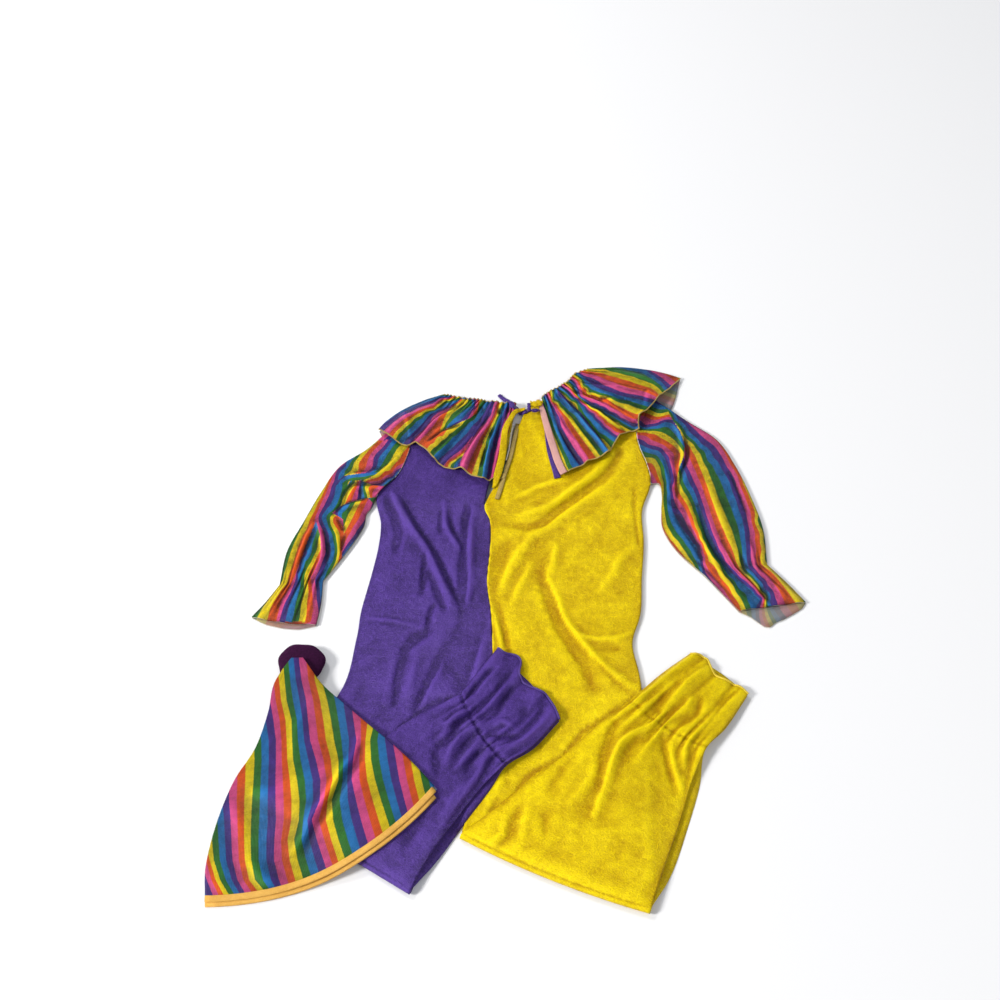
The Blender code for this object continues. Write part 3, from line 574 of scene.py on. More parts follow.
collarStripes["right"] = [
    {"edge": [(556, 388), (564, 396), (573, 405), (581, 413), (590, 425), (600, 438), (610, 452), (640, 480),
        (720, 440), (720, 340), (550, 340)],
     "stripes": {
        14.5: [(602, 440), (607, 445), (611, 450)],
        15.5: [(580, 411), (585, 419), (592, 428), (600, 437), (607, 441), (612, 446)],
        16.5: [(565, 391), (573, 399), (582, 407), (589, 416), (597, 425), (605, 432), (612, 437),
            (618, 439)],
        17.5: [(563, 388), (570, 393), (578, 399), (585, 406), (593, 414), (601, 423), (609, 431),
            (617, 437)],
        18.5: [(615, 433), (621, 435)],
        19.5: [(590, 409), (598, 415), (606, 423), (614, 429), (622, 432)],
        20.5: [(586, 404), (593, 409), (601, 414), (610, 421), (619, 426), (628, 431)],
        21.5: [(600, 409), (610, 416), (619, 421), (628, 427), (635, 430)],
        23.5: [(580, 397), (590, 403), (600, 407), (610, 413), (620, 419), (632, 425)],
        24.5: [(581, 393), (588, 399), (596, 401), (604, 405), (612, 410), (621, 415), (630, 420),
            (635, 421)],
        25.5: [(573, 377), (579, 383), (585, 390), (592, 396), (600, 399), (608, 401), (616, 407),
            (626, 413), (637, 417)],
        26.5: [(575, 376), (581, 381), (586, 388), (591, 393), (606, 397), (614, 402), (624, 406),
            (634, 410), (643, 412)],
        27.5: [(584, 386), (590, 392), (600, 394), (608, 396), (617, 400), (628, 402), (638, 406),
            (648, 409)],
        28.5: [(580, 376), (585, 381), (590, 386), (597, 390), (606, 393), (616, 396), (628, 399),
            (640, 402), (652, 405)],
        29.5: [(583, 376), (590, 379), (598, 384), (608, 389), (618, 393), (630, 396), (642, 398),
            (655, 402)],
        30.5: [(597, 378), (606, 383), (616, 387), (627, 391), (638, 393), (648, 396), (657, 399)],
        31.5: [(582, 371), (592, 373), (604, 376), (614, 379), (626, 383), (638, 387), (648, 390),
            (656, 395), (660, 398)],
        32.5: [(598, 371), (608, 373), (620, 376), (632, 379), (643, 383), (652, 386), (658, 390),
            (664, 395)],
        33.5: [(592, 368), (602, 367), (614, 370), (627, 373), (640, 377), (650, 381), (657, 385),
            (664, 392)],
        34.5: [(600, 365), (612, 365), (624, 366), (636, 369), (646, 372), (654, 377), (661, 383),
            (666, 389)],
        35.5: [(650, 372), (657, 377), (663, 382), (669, 387)],
        36.5: [(653, 371), (660, 374), (668, 379), (674, 384)],
    }},
    {"edge": None,
     "stripes": {
        2.5: [(563, 461), (566, 468)],
        3.5: [(545, 405), (552, 425), (558, 440), (562, 450), (568, 465), (571, 470)],
        4.5: [(546, 400), (550, 412), (555, 425), (560, 437), (566, 450), (572, 460), (577, 467)],
        5.5: [(550, 402), (554, 412), (558, 420), (561, 430), (567, 442), (574, 453), (582, 464)],
        6.5: [(556, 408), (560, 415), (563, 425), (568, 433), (574, 442), (580, 452), (587, 463)],
        7.5: [(551, 398), (556, 404), (561, 412), (567, 420), (573, 430), (580, 440), (587, 450), (594, 460)],
        8.5: [(552, 401), (560, 408), (568, 416), (575, 425), (582, 435), (589, 444), (595, 452), (600, 458)],
        9.5: [(553, 398), (560, 405), (568, 413), (577, 423), (585, 433), (593, 443), (600, 453), (603, 457)],
        10.5: [(556, 395), (563, 401), (570, 408), (577, 414), (581, 420), (590, 431), (598, 441),
            (605, 450), (608, 454)],
    }},
]


def curveThrough(rows, count):
    # cubic between rows, its slopes the mean of the rows on both sides
    table = np.array(rows, float)
    slopes = np.gradient(table, axis=0)
    place = np.linspace(0, len(table) - 1, count)
    low = np.minimum(place.astype(int), len(table) - 2)
    u = (place - low).reshape([-1] + [1] * (table.ndim - 1))
    return ((2 * u**3 - 3 * u**2 + 1) * table[low] + (u**3 - 2 * u**2 + u) * slopes[low]
            + (3 * u**2 - 2 * u**3) * table[low + 1] + (u**3 - u**2) * slopes[low + 1])


def planOf(rows, along, across):
    # sections in plan: straight from left to right, bowed by a parabola
    table = curveThrough(rows, along)
    left, right, bow = table[:, None, 0:2], table[:, None, 2:4], table[:, None, 4:5]
    s = np.linspace(0, 1, across)[None, :, None]
    run = right - left
    square = np.stack([-run[..., 1], run[..., 0]], axis=-1)
    square /= np.maximum(np.linalg.norm(square, axis=-1, keepdims=True), 1e-9)
    return left + run * s + square * bow * 4 * s * (1 - s)


# heights of what is laid so far, on a square net
net = {"step": 1.0, "low": np.array([-330.0, -520.0]), "size": (700, 750)}
heap = np.zeros(net["size"])


def windowSum(field, radius):
    # sum over a square window, from running sums along both axes
    for axis in (0, 1):
        pads = [(0, 0), (0, 0)]
        pads[axis] = (radius + 1, radius)
        total = np.cumsum(np.pad(field, pads, mode="edge"), axis=axis)
        upper = np.take(total, np.arange(2 * radius + 1, total.shape[axis]), axis=axis)
        lower = np.take(total, np.arange(0, total.shape[axis] - 2 * radius - 1), axis=axis)
        field = upper - lower
    return field


def meanNear(field, mask, radius):
    # the window's sum over what lies in the mask, divided by how much that is
    return windowSum(field * mask, radius) / np.maximum(windowSum(mask, radius), 1e-6)


def finer(points, times):
    # more points between the grid's own, straight between them
    for axis in (0, 1):
        count = points.shape[axis]
        place = np.linspace(0, count - 1, (count - 1) * times + 1)
        low = np.minimum(place.astype(int), count - 2)
        shape = [1, 1, 1]
        shape[axis] = -1
        u = (place - low).reshape(shape)
        points = (1 - u) * np.take(points, low, axis) + u * np.take(points, low + 1, axis)
    return points


def cellsOf(points, spread=3):
    # a finer grid of the points and the net's nearest cells to them
    dense = finer(points, spread).reshape(-1, points.shape[-1])
    cell = np.rint((dense[:, :2] - net["low"]) / net["step"]).astype(int)
    return dense, (cell[:, 0], cell[:, 1])


def readNet(field, plan):
    # straight between the four cells round each place
    place = (plan - net["low"]) / net["step"]
    low = np.floor(place).astype(int)
    u, v = (place - low)[..., 0], (place - low)[..., 1]
    i, j = low[..., 0], low[..., 1]
    return ((1 - u) * (1 - v) * field[i, j] + u * (1 - v) * field[i + 1, j]
            + (1 - u) * v * field[i, j + 1] + u * v * field[i + 1, j + 1])


def restOn(plan, bridging=(12, 9, 7, 5, 4, 3, 2, 2)):
    # lowest heights of a sheet that bridges hollows: the means over smaller and smaller
    # windows, never under what it lies on
    _, cell = cellsOf(plan)
    mask = np.zeros(net["size"])
    mask[cell] = 1
    floor = np.where(heap > 0, heap + draft["gap"], 0) * mask
    z = floor.copy()
    for radius in bridging:
        z = np.maximum(floor, meanNear(z, mask, radius)) * mask
    z = np.maximum(z, meanNear(z, mask, 1)) * mask
    filled = np.where(mask > 0, z, meanNear(z, mask, 2))
    return readNet(filled, plan)


def layDown(points, spread=3):
    # raise the heap to the cloth's height in every cell it covers
    dense, cell = cellsOf(points, spread)
    np.maximum.at(heap, cell, dense[:, 2])


def withHeight(plan, z):
    return np.concatenate([plan, z[..., None]], axis=-1)


def creaseHeight(plan, creases):
    # each crease: points along it, width, height and, if it has one, lean. It falls off on both
    # sides, faster on the side it leans to, and it fades at both ends
    rise = np.zeros(plan.shape[:2])
    for line, width, height, *leans in creases:
        lean = leans[0] if leans else 0.0
        knots = np.array(line, float)
        path = curveThrough(knots, 6 * len(knots))
        reach = 3 * width + 2
        low, high = path.min(0) - reach, path.max(0) + reach
        near = np.all((plan > low) & (plan < high), axis=-1)
        spots = plan[near]
        if not len(spots):
            continue
        start, run = path[:-1], path[1:] - path[:-1]
        offset = spots[:, None] - start[None]
        share = np.clip((offset * run).sum(-1) / np.maximum((run * run).sum(-1), 1e-9), 0, 1)
        away = offset - share[..., None] * run
        distance = np.linalg.norm(away, axis=-1)
        best = distance.argmin(axis=1)
        each = np.arange(len(spots))
        d = distance[each, best]
        t = (best + share[each, best]) / len(run)
        side = np.sign(run[best, 0] * away[each, best, 1] - run[best, 1] * away[each, best, 0])
        wide = width * (1 + lean * side)
        fade = np.sin(np.pi * np.clip(0.06 + 0.88 * t, 0, 1)) ** 0.7
        rise[near] += 1.5 * height * fade * np.exp(-(d / wide) ** 1.7)
    return rise


def pressed(plan, creases, height):
    # creases given by their places in the frame, on cloth at a height over the table
    return creaseHeight(plan, [(onTable(line, height), *rest) for line, *rest in creases])


def softNoise(plan, cell, seed):
    # random heights on a lattice, read smoothly between its points, about -1 to 1
    spots = np.random.default_rng(seed).uniform(-1, 1, (160, 160))
    place = (plan + 1000) / cell
    low = np.floor(place).astype(int)
    u = place - low
    u = u * u * (3 - 2 * u)
    i, j = low[..., 0] % 159, low[..., 1] % 159
    return ((1 - u[..., 0]) * (1 - u[..., 1]) * spots[i, j] + u[..., 0] * (1 - u[..., 1]) * spots[i + 1, j]
            + (1 - u[..., 0]) * u[..., 1] * spots[i, j + 1] + u[..., 0] * u[..., 1] * spots[i + 1, j + 1])


def crinkle(plan, size, seed):
    # soft unevenness of thin knit, three sizes of lattice
    return size * (0.55 * softNoise(plan, 26, seed) + 0.35 * softNoise(plan, 11, seed + 1)
                   + 0.22 * softNoise(plan, 5.5, seed + 2))


def edgeFade(shape, power, ends):
    # one in the middle, nought at the edges: one less a power of the distance, both ways
    s = np.linspace(-1, 1, shape[1])[None, :]
    t = np.linspace(-1, 1, shape[0])[:, None]
    return (1 - np.abs(s) ** power) * (1 - np.abs(t) ** ends)


def inFrame(points):
    # where the camera shows points of the drafting table, in the 1000 by 1000 frame:
    # offsets square to the view over the depth along it
    tilt = np.radians(view["elevation"])
    x, y, z = (points[..., k] * mm for k in range(3))
    reach = (view["distance"] + y * np.cos(tilt) - z * np.sin(tilt)) * view["halfAngle"]
    raised = y * np.sin(tilt) + z * np.cos(tilt)
    return np.stack([view["half"] + view["half"] * x / reach, view["half"] - view["half"] * raised / reach],
        axis=-1)


def onTable(places, height):
    # the reverse: where the rays through places of the frame pass a height over the table
    tilt = np.radians(view["elevation"])
    x, y = ((np.array(places, float) - view["half"]) / view["half"] * [1, -1] * view["halfAngle"]).T
    ray = np.stack([x, np.cos(tilt) + y * np.sin(tilt), -np.sin(tilt) + y * np.cos(tilt)], axis=-1)
    eye = np.array([0, -np.cos(tilt), np.sin(tilt)]) * view["distance"]
    return (eye + ray * ((height * mm - eye[2]) / ray[:, 2])[:, None])[:, :2] / mm


def thinPlate(marks, spots, ease=8.0):
    # the smoothest count through all marks: weights times r squared log r, and a plane
    places = np.concatenate([np.array(line, float) for line in marks.values()])
    counts = np.concatenate([np.full(len(line), number) for number, line in marks.items()])

    def bend(one, other):
        square = ((one[:, None] - other[None]) ** 2).sum(-1)
        return square * np.log(square + 1e-9)

    size = len(places)
    flat = np.concatenate([np.ones((size, 1)), places / 100], axis=1)
    whole = np.zeros((size + 3, size + 3))
    whole[:size, :size] = bend(places, places) + ease * np.eye(size)
    whole[:size, size:], whole[size:, :size] = flat, flat.T
    weights = np.linalg.lstsq(whole, np.concatenate([counts, np.zeros(3)]), rcond=1e-12)[0]
    level = np.concatenate([np.ones((len(spots), 1)), spots / 100], axis=1)
    return bend(spots, places) @ weights[:size] + level @ weights[size:]


def inside(spots, edge):
    # even-odd rule: how many edge lines a ray to the right crosses
    corners = np.array(edge, float)
    crossed = np.zeros(len(spots), bool)
    for (x0, y0), (x1, y1) in zip(corners, np.roll(corners, -1, axis=0)):
        spans = (spots[:, 1] < y0) != (spots[:, 1] < y1)
        rise = y1 - y0 if y1 != y0 else 1.0
        crossed ^= spans & (spots[:, 0] < x0 + (spots[:, 1] - y0) * (x1 - x0) / rise)
    return crossed


def stripesOn(points, regions):
    # the count at every point for each region, and the region of every face
    spots = inFrame(points)
    middles = (spots[:-1, :-1] + spots[1:, 1:]) / 2
    whose = np.full(middles.shape[:2], len(regions) - 1)
    for number, part in reversed(list(enumerate(regions))):
        if part["edge"]:
            whose[inside(middles.reshape(-1, 2), part["edge"]).reshape(whose.shape)] = number
    counts = np.stack([thinPlate(part["stripes"], spots.reshape(-1, 2)) for part in regions])
    return counts, whose.ravel()


def clothGrid(name, points, looks, wall, stripe=None):
    # a grid as a shell: its wall lies behind its faces. looks is one material for both
    # sides, or the face's, the back's and the edge's. stripe is the stripe's number at each
    # point, or such numbers for each region with the region of every face.
    rows, columns = points.shape[:2]
    number = np.arange(rows * columns).reshape(rows, columns)
    quads = np.stack([number[:-1, :-1], number[:-1, 1:], number[1:, 1:], number[1:, :-1]], -1)
    across = np.cross(points[1:, 1:] - points[:-1, :-1], points[1:, :-1] - points[:-1, 1:])
    facing = across[-(rows // 4):, :, 2].mean()
    if facing <= 0:
        quads = quads[..., ::-1]
    quads = quads.reshape(-1, 4)
    mesh = bpy.data.meshes.new(name)
    mesh.from_pydata(toFrame(points.reshape(-1, 3)), [], quads)
    cloth = clothOf(points)
    layer = mesh.uv_layers.new(name="cloth")
    layer.data.foreach_set("uv", cloth.reshape(-1, 2)[quads.ravel()].ravel())
    # the height above its surroundings, which the materials use to paint shade into hollows and light onto
    # crests
    paintedShadeCrest = mesh.attributes.new("paintedShadeCrest", "FLOAT", "POINT")
    paintedShadeCrest.data.foreach_set("value", crestOf(points[..., 2]).ravel())
    if stripe is not None:
        if not isinstance(stripe, tuple):
            stripe = (np.reshape(stripe, (1, -1)), np.zeros(len(quads), int))
        counts, whose = stripe
        count = mesh.attributes.new("stripe", "FLOAT", "CORNER")
        count.data.foreach_set("value", counts[whose[:, None], quads].ravel())
    looks = looks if isinstance(looks, (list, tuple)) else [looks]
    for look in looks:
        mesh.materials.append(materials[look])
    mesh.shade_smooth()
    piece = bpy.data.objects.new(name, mesh)
    bpy.context.collection.objects.link(piece)
    shell = piece.modifiers.new("wall", "SOLIDIFY")
    shell.offset = -1
    shell.thickness = wall * mm
    shell.material_offset = 1 if len(looks) > 1 else 0
    shell.material_offset_rim = 2 if len(looks) > 2 else 0
    return piece


def crestOf(z):
    # height above the mean of the cloth round it, in mm and at most 1 either way; the materials
    # paint shade into hollows and light onto crests by it
    full = np.ones(z.shape)
    near = windowSum(z, 3) / windowSum(full, 3)
    wide = windowSum(z, 8) / windowSum(full, 8)
    return np.tanh((z - near) / 0.9 + (z - wide) / 2.0)


def clothOf(points):
    # the cut's own coordinates in mm: the mean path lengths across and along the grid
    across = np.linalg.norm(np.diff(points, axis=1), axis=-1).mean(0)
    along = np.linalg.norm(np.diff(points, axis=0), axis=-1).mean(1)
    u = np.concatenate([[0], np.cumsum(across)])
    v = np.concatenate([[0], np.cumsum(along)])
    return np.stack(np.broadcast_arrays(u[None, :], v[:, None]), axis=-1)


def settleIn(piece, node):
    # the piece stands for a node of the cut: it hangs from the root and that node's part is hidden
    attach(piece, "root")
    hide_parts(node)


def stripesAcross(marks, places, levels):
    # the stripe's number at each place: straight between marks, whose numbers are levels
    count = np.full(np.broadcast_shapes(marks.shape[:-1], places.shape), float(levels[0]))
    for k in range(len(levels) - 1):
        width = marks[..., k + 1] - marks[..., k]
        count = count + (levels[k + 1] - levels[k]) * np.clip((places - marks[..., k]) / width, 0, 1)
    return count


def ruffleFront(side, rows, firstStripe, stripes):
    # the collar's front half, flat on the table, its stripes numbered evenly along it
    plan = planOf(rows, 90, 26)
    points = withHeight(plan, restOn(plan) + draft["wall"])
    layDown(points)
    stripe = np.broadcast_to(np.linspace(firstStripe, firstStripe + stripes, 90)[:, None], plan.shape[:2])
    looks = ["stripeBack", "stripe", "paleThread"]
    return clothGrid("collar_" + side + "_front", points, looks, draft["wall"], stripe)


collarLeftFront = ruffleFront("left", leftRuffleFront, -1.0, 26)
collarRightFront = ruffleFront("right", rightRuffleFront, 37.6, -34)
settleIn(collarLeftFront, "ruffle_left_front")
settleIn(collarRightFront, "ruffle_right_front")
print("collar front laid")


def bodyPlan(rows, side, along, across):
    # a body panel's plan, its centre edge moved off the seam's middle
    plan = planOf(rows, along, across)
    s = np.linspace(0, 1, across)[None, :]
    plan[..., 0] += draft["seam"] / 2 * (-s if side == "left" else 1 - s)
    return plan


def outOfKnee(line, leg):
    # the way square to the fold, pointing away from the leg
    ends = line[-1] - line[0]
    square = np.array([ends[1], -ends[0]]) / np.linalg.norm(ends)
    return square * np.sign(square @ (line.mean(0) - leg.mean(0)))


def drawIn(plan, shift, reach):
    # move the first rows by a shift that fades over the reach in rows
    fade = np.clip(1 - np.arange(len(plan)) / reach, 0, 1)[:, None, None]
    return plan + shift * fade


def frontRun(rows, side, along, across):
    # the front panel's lower run, flat on the table, short of the knee by its roll
    plan = bodyPlan(rows, side, along, across)
    plan[-1] -= outOfKnee(plan[-1], plan[-2]) * draft["kneeRoll"]
    z = restOn(plan)
    layDown(withHeight(plan, z + draft["wall"]), 6)
    return withHeight(plan, z)


legAcross = 78
purpleLow = frontRun(purpleBody, "left", 70, legAcross)
yellowLow = frontRun(yellowBody, "right", 70, legAcross)
print("front panels laid")


# sleeves: how far the lower half shows past the cuff, as shares across -1 to 1 and mm; the
# height where creases are read; a crease is its places, width, height and perhaps its lean
sleeves = {}
sleeves["left"] = {
    "shows": [(-1, 0), (-0.5, 3.8), (0, 5), (0.5, 4.7), (1, 0)], "height": 9.0,
    "creases": [
        ([(352, 482), (345, 490), (341, 502), (333, 512)], 3.0, -2.5),
        ([(317, 522), (321, 537), (322, 552), (315, 569)], 3.5, 3.0),
        ([(313, 530), (306, 544), (301, 557), (298, 570)], 3.5, -2.5),
        ([(312, 522), (304, 540), (297, 560)], 3.0, 2.5),
        ([(323, 528), (327, 544), (327, 560), (323, 572)], 3.0, -1.2),
        ([(335, 530), (339, 550), (336, 562)], 3.0, 2.0),
        ([(345, 533), (342, 542), (340, 552)], 2.5, -2.5),
        ([(361, 506), (357, 520), (350, 537)], 8.0, 3.0),
        ([(344, 506), (354, 502), (365, 500)], 2.5, 2.2),
        ([(345, 502), (355, 499), (366, 496)], 2.5, -2.2),
        ([(337, 516), (342, 524), (344, 528)], 3.0, -2.2),
        ([(349, 498), (354, 487)], 3.0, 1.5),
        ([(361, 483), (360, 498)], 2.5, -1.6),
        ([(367, 490), (373, 486), (381, 487)], 3.0, 2.2),
        ([(347, 474), (358, 473), (369, 472), (378, 469)], 3.0, 2.2),
        ([(350, 482), (361, 481), (372, 482)], 3.0, -2.4),
        ([(349, 477), (363, 476), (375, 474), (384, 469), (392, 461), (400, 452)], 3.0, 1.8),
        ([(401, 464), (391, 473), (381, 480), (373, 482)], 3.0, -1.8),
        ([(286, 581), (276, 597), (266, 612)], 3.0, 2.0),
        ([(290, 583), (281, 598), (274, 612)], 3.0, -1.8),
    ],
}
sleeves["right"] = {
    "shows": [(-1, 0), (-0.75, 7), (-0.36, 13), (0, 18), (0.31, 21), (0.56, 26), (0.72, 24), (0.82, 9),
        (1, 0)], "height": 10.0,
    "creases": [
        ([(676, 421), (681, 434), (683, 448), (683, 458), (679, 470)], 4.0, 3.5),
        ([(684, 434), (687, 446), (687, 456), (683, 467), (680, 480)], 3.0, -2.5),
        ([(667, 452), (672, 466), (674, 482)], 3.5, 2.0),
        ([(675, 470), (678, 483), (677, 497)], 3.0, -2.0),
        ([(661, 458), (667, 476), (669, 494)], 3.0, 2.0),
        ([(660, 468), (662, 477), (664, 487)], 3.0, -1.2),
        ([(671, 496), (677, 505)], 4.0, -3.0),
        ([(676, 511), (687, 527), (697, 543), (702, 560)], 5.0, -3.0),
        ([(664, 521), (675, 539), (688, 555)], 5.0, 2.5),
        ([(685, 498), (697, 529), (714, 559), (727, 581)], 3.5, 2.5),
        ([(699, 503), (708, 532), (717, 550), (731, 568)], 3.0, -2.6),
        ([(705, 480), (716, 505), (726, 530), (735, 556)], 6.0, 2.0),
        ([(740, 550), (747, 572)], 3.0, -1.5),
        ([(752, 544), (757, 567)], 3.0, 2.0),
        ([(730, 469), (739, 488), (748, 511)], 2.5, -1.8),
        ([(761, 585), (772, 602)], 4.0, -3.0),
        ([(776, 583), (787, 599)], 4.0, 2.0),
        ([(728, 582), (740, 598)], 4.0, 2.0),
    ],
}


def armholeCurve(rows, side, count):
    # the body panel's side down to the underarm, moved off by the seam
    table = curveThrough(rows, (len(rows) - 1) * (count - 1) // underarmRow + 1)[:count]
    if side == "left":
        return table[:, 0:2] - np.array([draft["seam"], 0])
    return table[:, 2:4] + np.array([draft["seam"], 0])


def sleevePlan(side, sleeve, cuff, body, along, cuffAlong, across, shows):
    # sections from the armhole to the elastic and on to the hem, the first ones drawn to the
    # body's edge and the last ones pushed out by what shows
    plan = planOf(sleeve, along, across)
    fade = np.clip(1 - np.arange(along) / (0.4 * (along - 1)), 0, 1)[:, None, None]
    plan += (armholeCurve(body, side, across) - plan[0])[None] * fade
    frill = planOf(cuff, cuffAlong, across)
    outward = frill[-1] - frill[0]
    outward /= np.linalg.norm(outward, axis=-1, keepdims=True)
    s = np.linspace(-1, 1, across)[:, None]
    grow = (np.linspace(0, 1, cuffAlong) ** 2)[:, None, None]
    frill = frill + grow * (outward * np.interp(s, *np.transpose(shows)))[None]
    return np.concatenate([plan, frill[1:]])


# reaches are shares of the sleeve's length, heights and the depth are in mm
wrist = {"puckers": 9, "height": 2.2, "nearReach": 0.10, "farReach": 0.24, "fewer": 0.45,
         "pinchReach": 0.035, "pinchDepth": 1.2, "seeds": {"left": 5, "right": 9}}
sleeveCloth = {"loft": 2.2, "crinkle": 0.9, "hemWaves": 3, "hemHeight": 2.4}


def wristGathers(shape, along, seed, count, height):
    # puckers that are sharpest at the elastic and widen into fewer waves away from it
    rng = np.random.default_rng(seed)
    s = np.linspace(0, 1, shape[1])[None, :]
    t = (np.arange(shape[0]) - (along - 1))[:, None] / (along - 1)
    warp = s + 0.03 * np.sin(2 * np.pi * (2 * s + rng.uniform()))
    warp += 0.02 * np.sin(2 * np.pi * (5 * s + rng.uniform()))
    near = np.exp(-(t / wrist["nearReach"]) ** 2)
    far = np.exp(-(t / wrist["farReach"]) ** 2)
    tight = 0.5 - 0.5 * np.cos(2 * np.pi * count * warp)
    loose = 0.5 - 0.5 * np.cos(2 * np.pi * (count * wrist["fewer"]) * warp + 1.3)
    pinch = np.exp(-(t / wrist["pinchReach"]) ** 2)
    return height * (0.55 * near * tight + 0.75 * far * loose) - wrist["pinchDepth"] * pinch


def sleevePiece(side, layer):
    # a half rests on what is laid and rises by its loft, creases, crinkle, wrist puckers and
    # a wave at the hem; the lower half is plain
    sleeve, cuff, body = ((leftSleeve, leftCuff, purpleBody) if side == "left"
                          else (rightSleeve, rightCuff, yellowBody))
    upper = layer == "upper"
    along, cuffAlong, across = (200, 34, 84) if upper else (66, 16, 34)
    shows = [(-1, 0), (1, 0)] if upper else sleeves[side]["shows"]
    plan = sleevePlan(side, sleeve, cuff, body, along, cuffAlong, across, shows)
    z = restOn(plan) + draft["wall"]
    fade = edgeFade(plan.shape, 4, 14)
    if upper:
        lift = sleeveCloth["loft"] * edgeFade(plan.shape, 2.0, 14)
        lift += pressed(plan, sleeves[side]["creases"], sleeves[side]["height"]) * fade
        lift += crinkle(plan, sleeveCloth["crinkle"], 41) * fade
        puckers = wristGathers(plan.shape, along, wrist["seeds"][side], wrist["puckers"], wrist["height"])
        lift += puckers * edgeFade(plan.shape, 6, 60)
        grow = np.clip((np.arange(plan.shape[0]) - along) / cuffAlong, 0, 1)[:, None]
        s = np.linspace(0, 1, across)[None, :]
        wave = 0.5 - 0.5 * np.cos(2 * np.pi * sleeveCloth["hemWaves"] * s + 0.8 * np.sin(5 * s))
        lift += grow * sleeveCloth["hemHeight"] * wave
        z = z + np.maximum(lift, -0.2)
    points = withHeight(plan, z)
    layDown(points)
    stripe = stripesOn(points, sleeveStripes[side])
    looks = ["stripe", "stripeBack", "paleThread"] if upper else ["stripeBack", "stripe", "paleThread"]
    wall = 0.9 if upper else draft["wall"]
    return clothGrid("sleeve_" + side + "_" + layer + "_cloth", points, looks, wall, stripe)


settleIn(sleevePiece("left", "lower"), "sleeve_left_lower")
settleIn(sleevePiece("right", "lower"), "sleeve_right_lower")
print("sleeves' lower halves laid")


# back panels: "press" scales the heights of the creases, which are written as on the sleeves
backs = {}
backs["purple"] = {
    "rows": purpleBody, "side": "left", "seed": 11, "press": 1.5,
    "creases": [
        # a trough along the calf's folded edge for the shadow line beside it; the painted shade darkens it
        ([(395, 733), (405, 723), (420, 712), (430, 704), (443, 699), (458, 697), (468, 699)], 2.0, -2.4),
        ([(396, 495), (412, 525), (427, 546), (440, 575), (452, 600)], 5.0, 3.0, -0.3),
        ([(405, 505), (420, 532), (432, 550), (445, 573), (457, 598)], 5.0, -2.2),
        ([(444, 503), (446, 525), (453, 538), (462, 550)], 3.5, 1.4),
        ([(449, 510), (452, 525), (460, 542)], 3.5, -1.4),
        ([(441, 508), (440, 532)], 3.0, -1.0),
        ([(467, 505), (464, 550), (463, 580), (463, 615)], 4.0, -2.2, -0.2),
        ([(472, 505), (471, 540), (470, 572), (467, 602)], 4.0, 1.8),
        ([(472, 505), (465, 522)], 4.0, -1.4),
        ([(468, 568), (465, 592)], 4.0, -1.6),
        ([(425, 550), (424, 572), (422, 592)], 3.5, -1.8),
        ([(429, 570), (436, 588), (444, 608)], 3.5, -2.0),
        ([(391, 505), (398, 530), (395, 550)], 4.0, -2.2),
        ([(386, 496), (389, 512)], 3.0, -1.6),
        ([(392, 492), (404, 520)], 3.5, 1.6),
        ([(368, 617), (390, 620), (414, 624)], 2.2, 0.9),
        ([(435, 603), (430, 612), (427, 628)], 3.0, -1.6),
        ([(403, 652), (412, 640), (430, 630)], 5.0, -2.2),
        ([(405, 652), (399, 672), (394, 704)], 4.0, -2.0),
        ([(416, 658), (412, 677), (407, 695)], 4.0, 1.2),
        ([(447, 645), (437, 665), (427, 685), (415, 708)], 5.0, -2.2),
        ([(447, 648), (439, 668), (430, 688), (422, 704)], 4.0, 1.4),
        ([(488, 580), (478, 608), (462, 638), (446, 668)], 11.0, -2.8),
        ([(476, 628), (468, 660), (459, 690)], 8.0, -2.2),
        ([(484, 640), (479, 662), (473, 684)], 5.0, 1.4),
    ],
}
backs["yellow"] = {
    "rows": yellowBody, "side": "right", "seed": 23, "press": 1.1,
    "creases": [
        # a trough along the calf's folded edge for the shadow line beside it; the painted shade darkens it
        ([(490, 810), (510, 800), (522, 782), (536, 770), (558, 758), (574, 742), (584, 730), (600, 720),
            (614, 710), (630, 700), (640, 688)], 2.0, -2.4),
        ([(634, 488), (635, 512), (637, 532), (640, 551)], 1.6, -1.2),
        ([(581, 641), (594, 657), (612, 677), (629, 692)], 1.4, -1.0),
        ([(505, 523), (530, 525), (547, 519), (562, 508), (580, 495), (600, 480), (615, 463), (621, 450)],
            6.0, -2.6),
        ([(520, 514), (545, 508), (562, 498), (580, 486), (600, 470), (612, 455)], 5.0, 2.4, 0.2),
        ([(530, 535), (548, 527), (562, 514), (580, 502), (600, 487)], 5.0, 1.6),
        ([(516, 497), (538, 486), (562, 479)], 4.0, 1.2),
        ([(512, 538), (501, 555), (494, 578)], 8.0, -2.0),
        ([(537, 530), (521, 550), (508, 572), (500, 592)], 5.0, 1.5),
        ([(532, 562), (521, 583), (512, 602)], 4.0, 1.2),
        ([(548, 578), (558, 598), (565, 618), (582, 641), (605, 666), (638, 690)], 3.2, 2.4, 0.2),
        ([(541, 572), (549, 595), (557, 615), (568, 636), (582, 658), (593, 686)], 7.0, -3.0),
        ([(568, 625), (582, 635), (600, 638), (620, 636), (637, 628)], 2.4, 1.2),
        ([(598, 646), (622, 648)], 5.0, -1.2),
        ([(639, 545), (620, 557), (612, 575), (600, 592)], 5.0, 1.0),
        ([(489, 600), (497, 625), (503, 652)], 3.0, 1.8),
        ([(496, 600), (504, 628), (509, 656)], 3.5, -2.0),
        ([(556, 545), (553, 562), (547, 578)], 4.0, 1.4),
        ([(497, 790), (493, 805), (488, 816)], 3.0, -1.4),
        ([(503, 772), (497, 790), (487, 812)], 3.0, 1.2),
    ],
}


panelCloth = {"loft": 2.2, "crinkle": 0.8, "wall": 0.9}


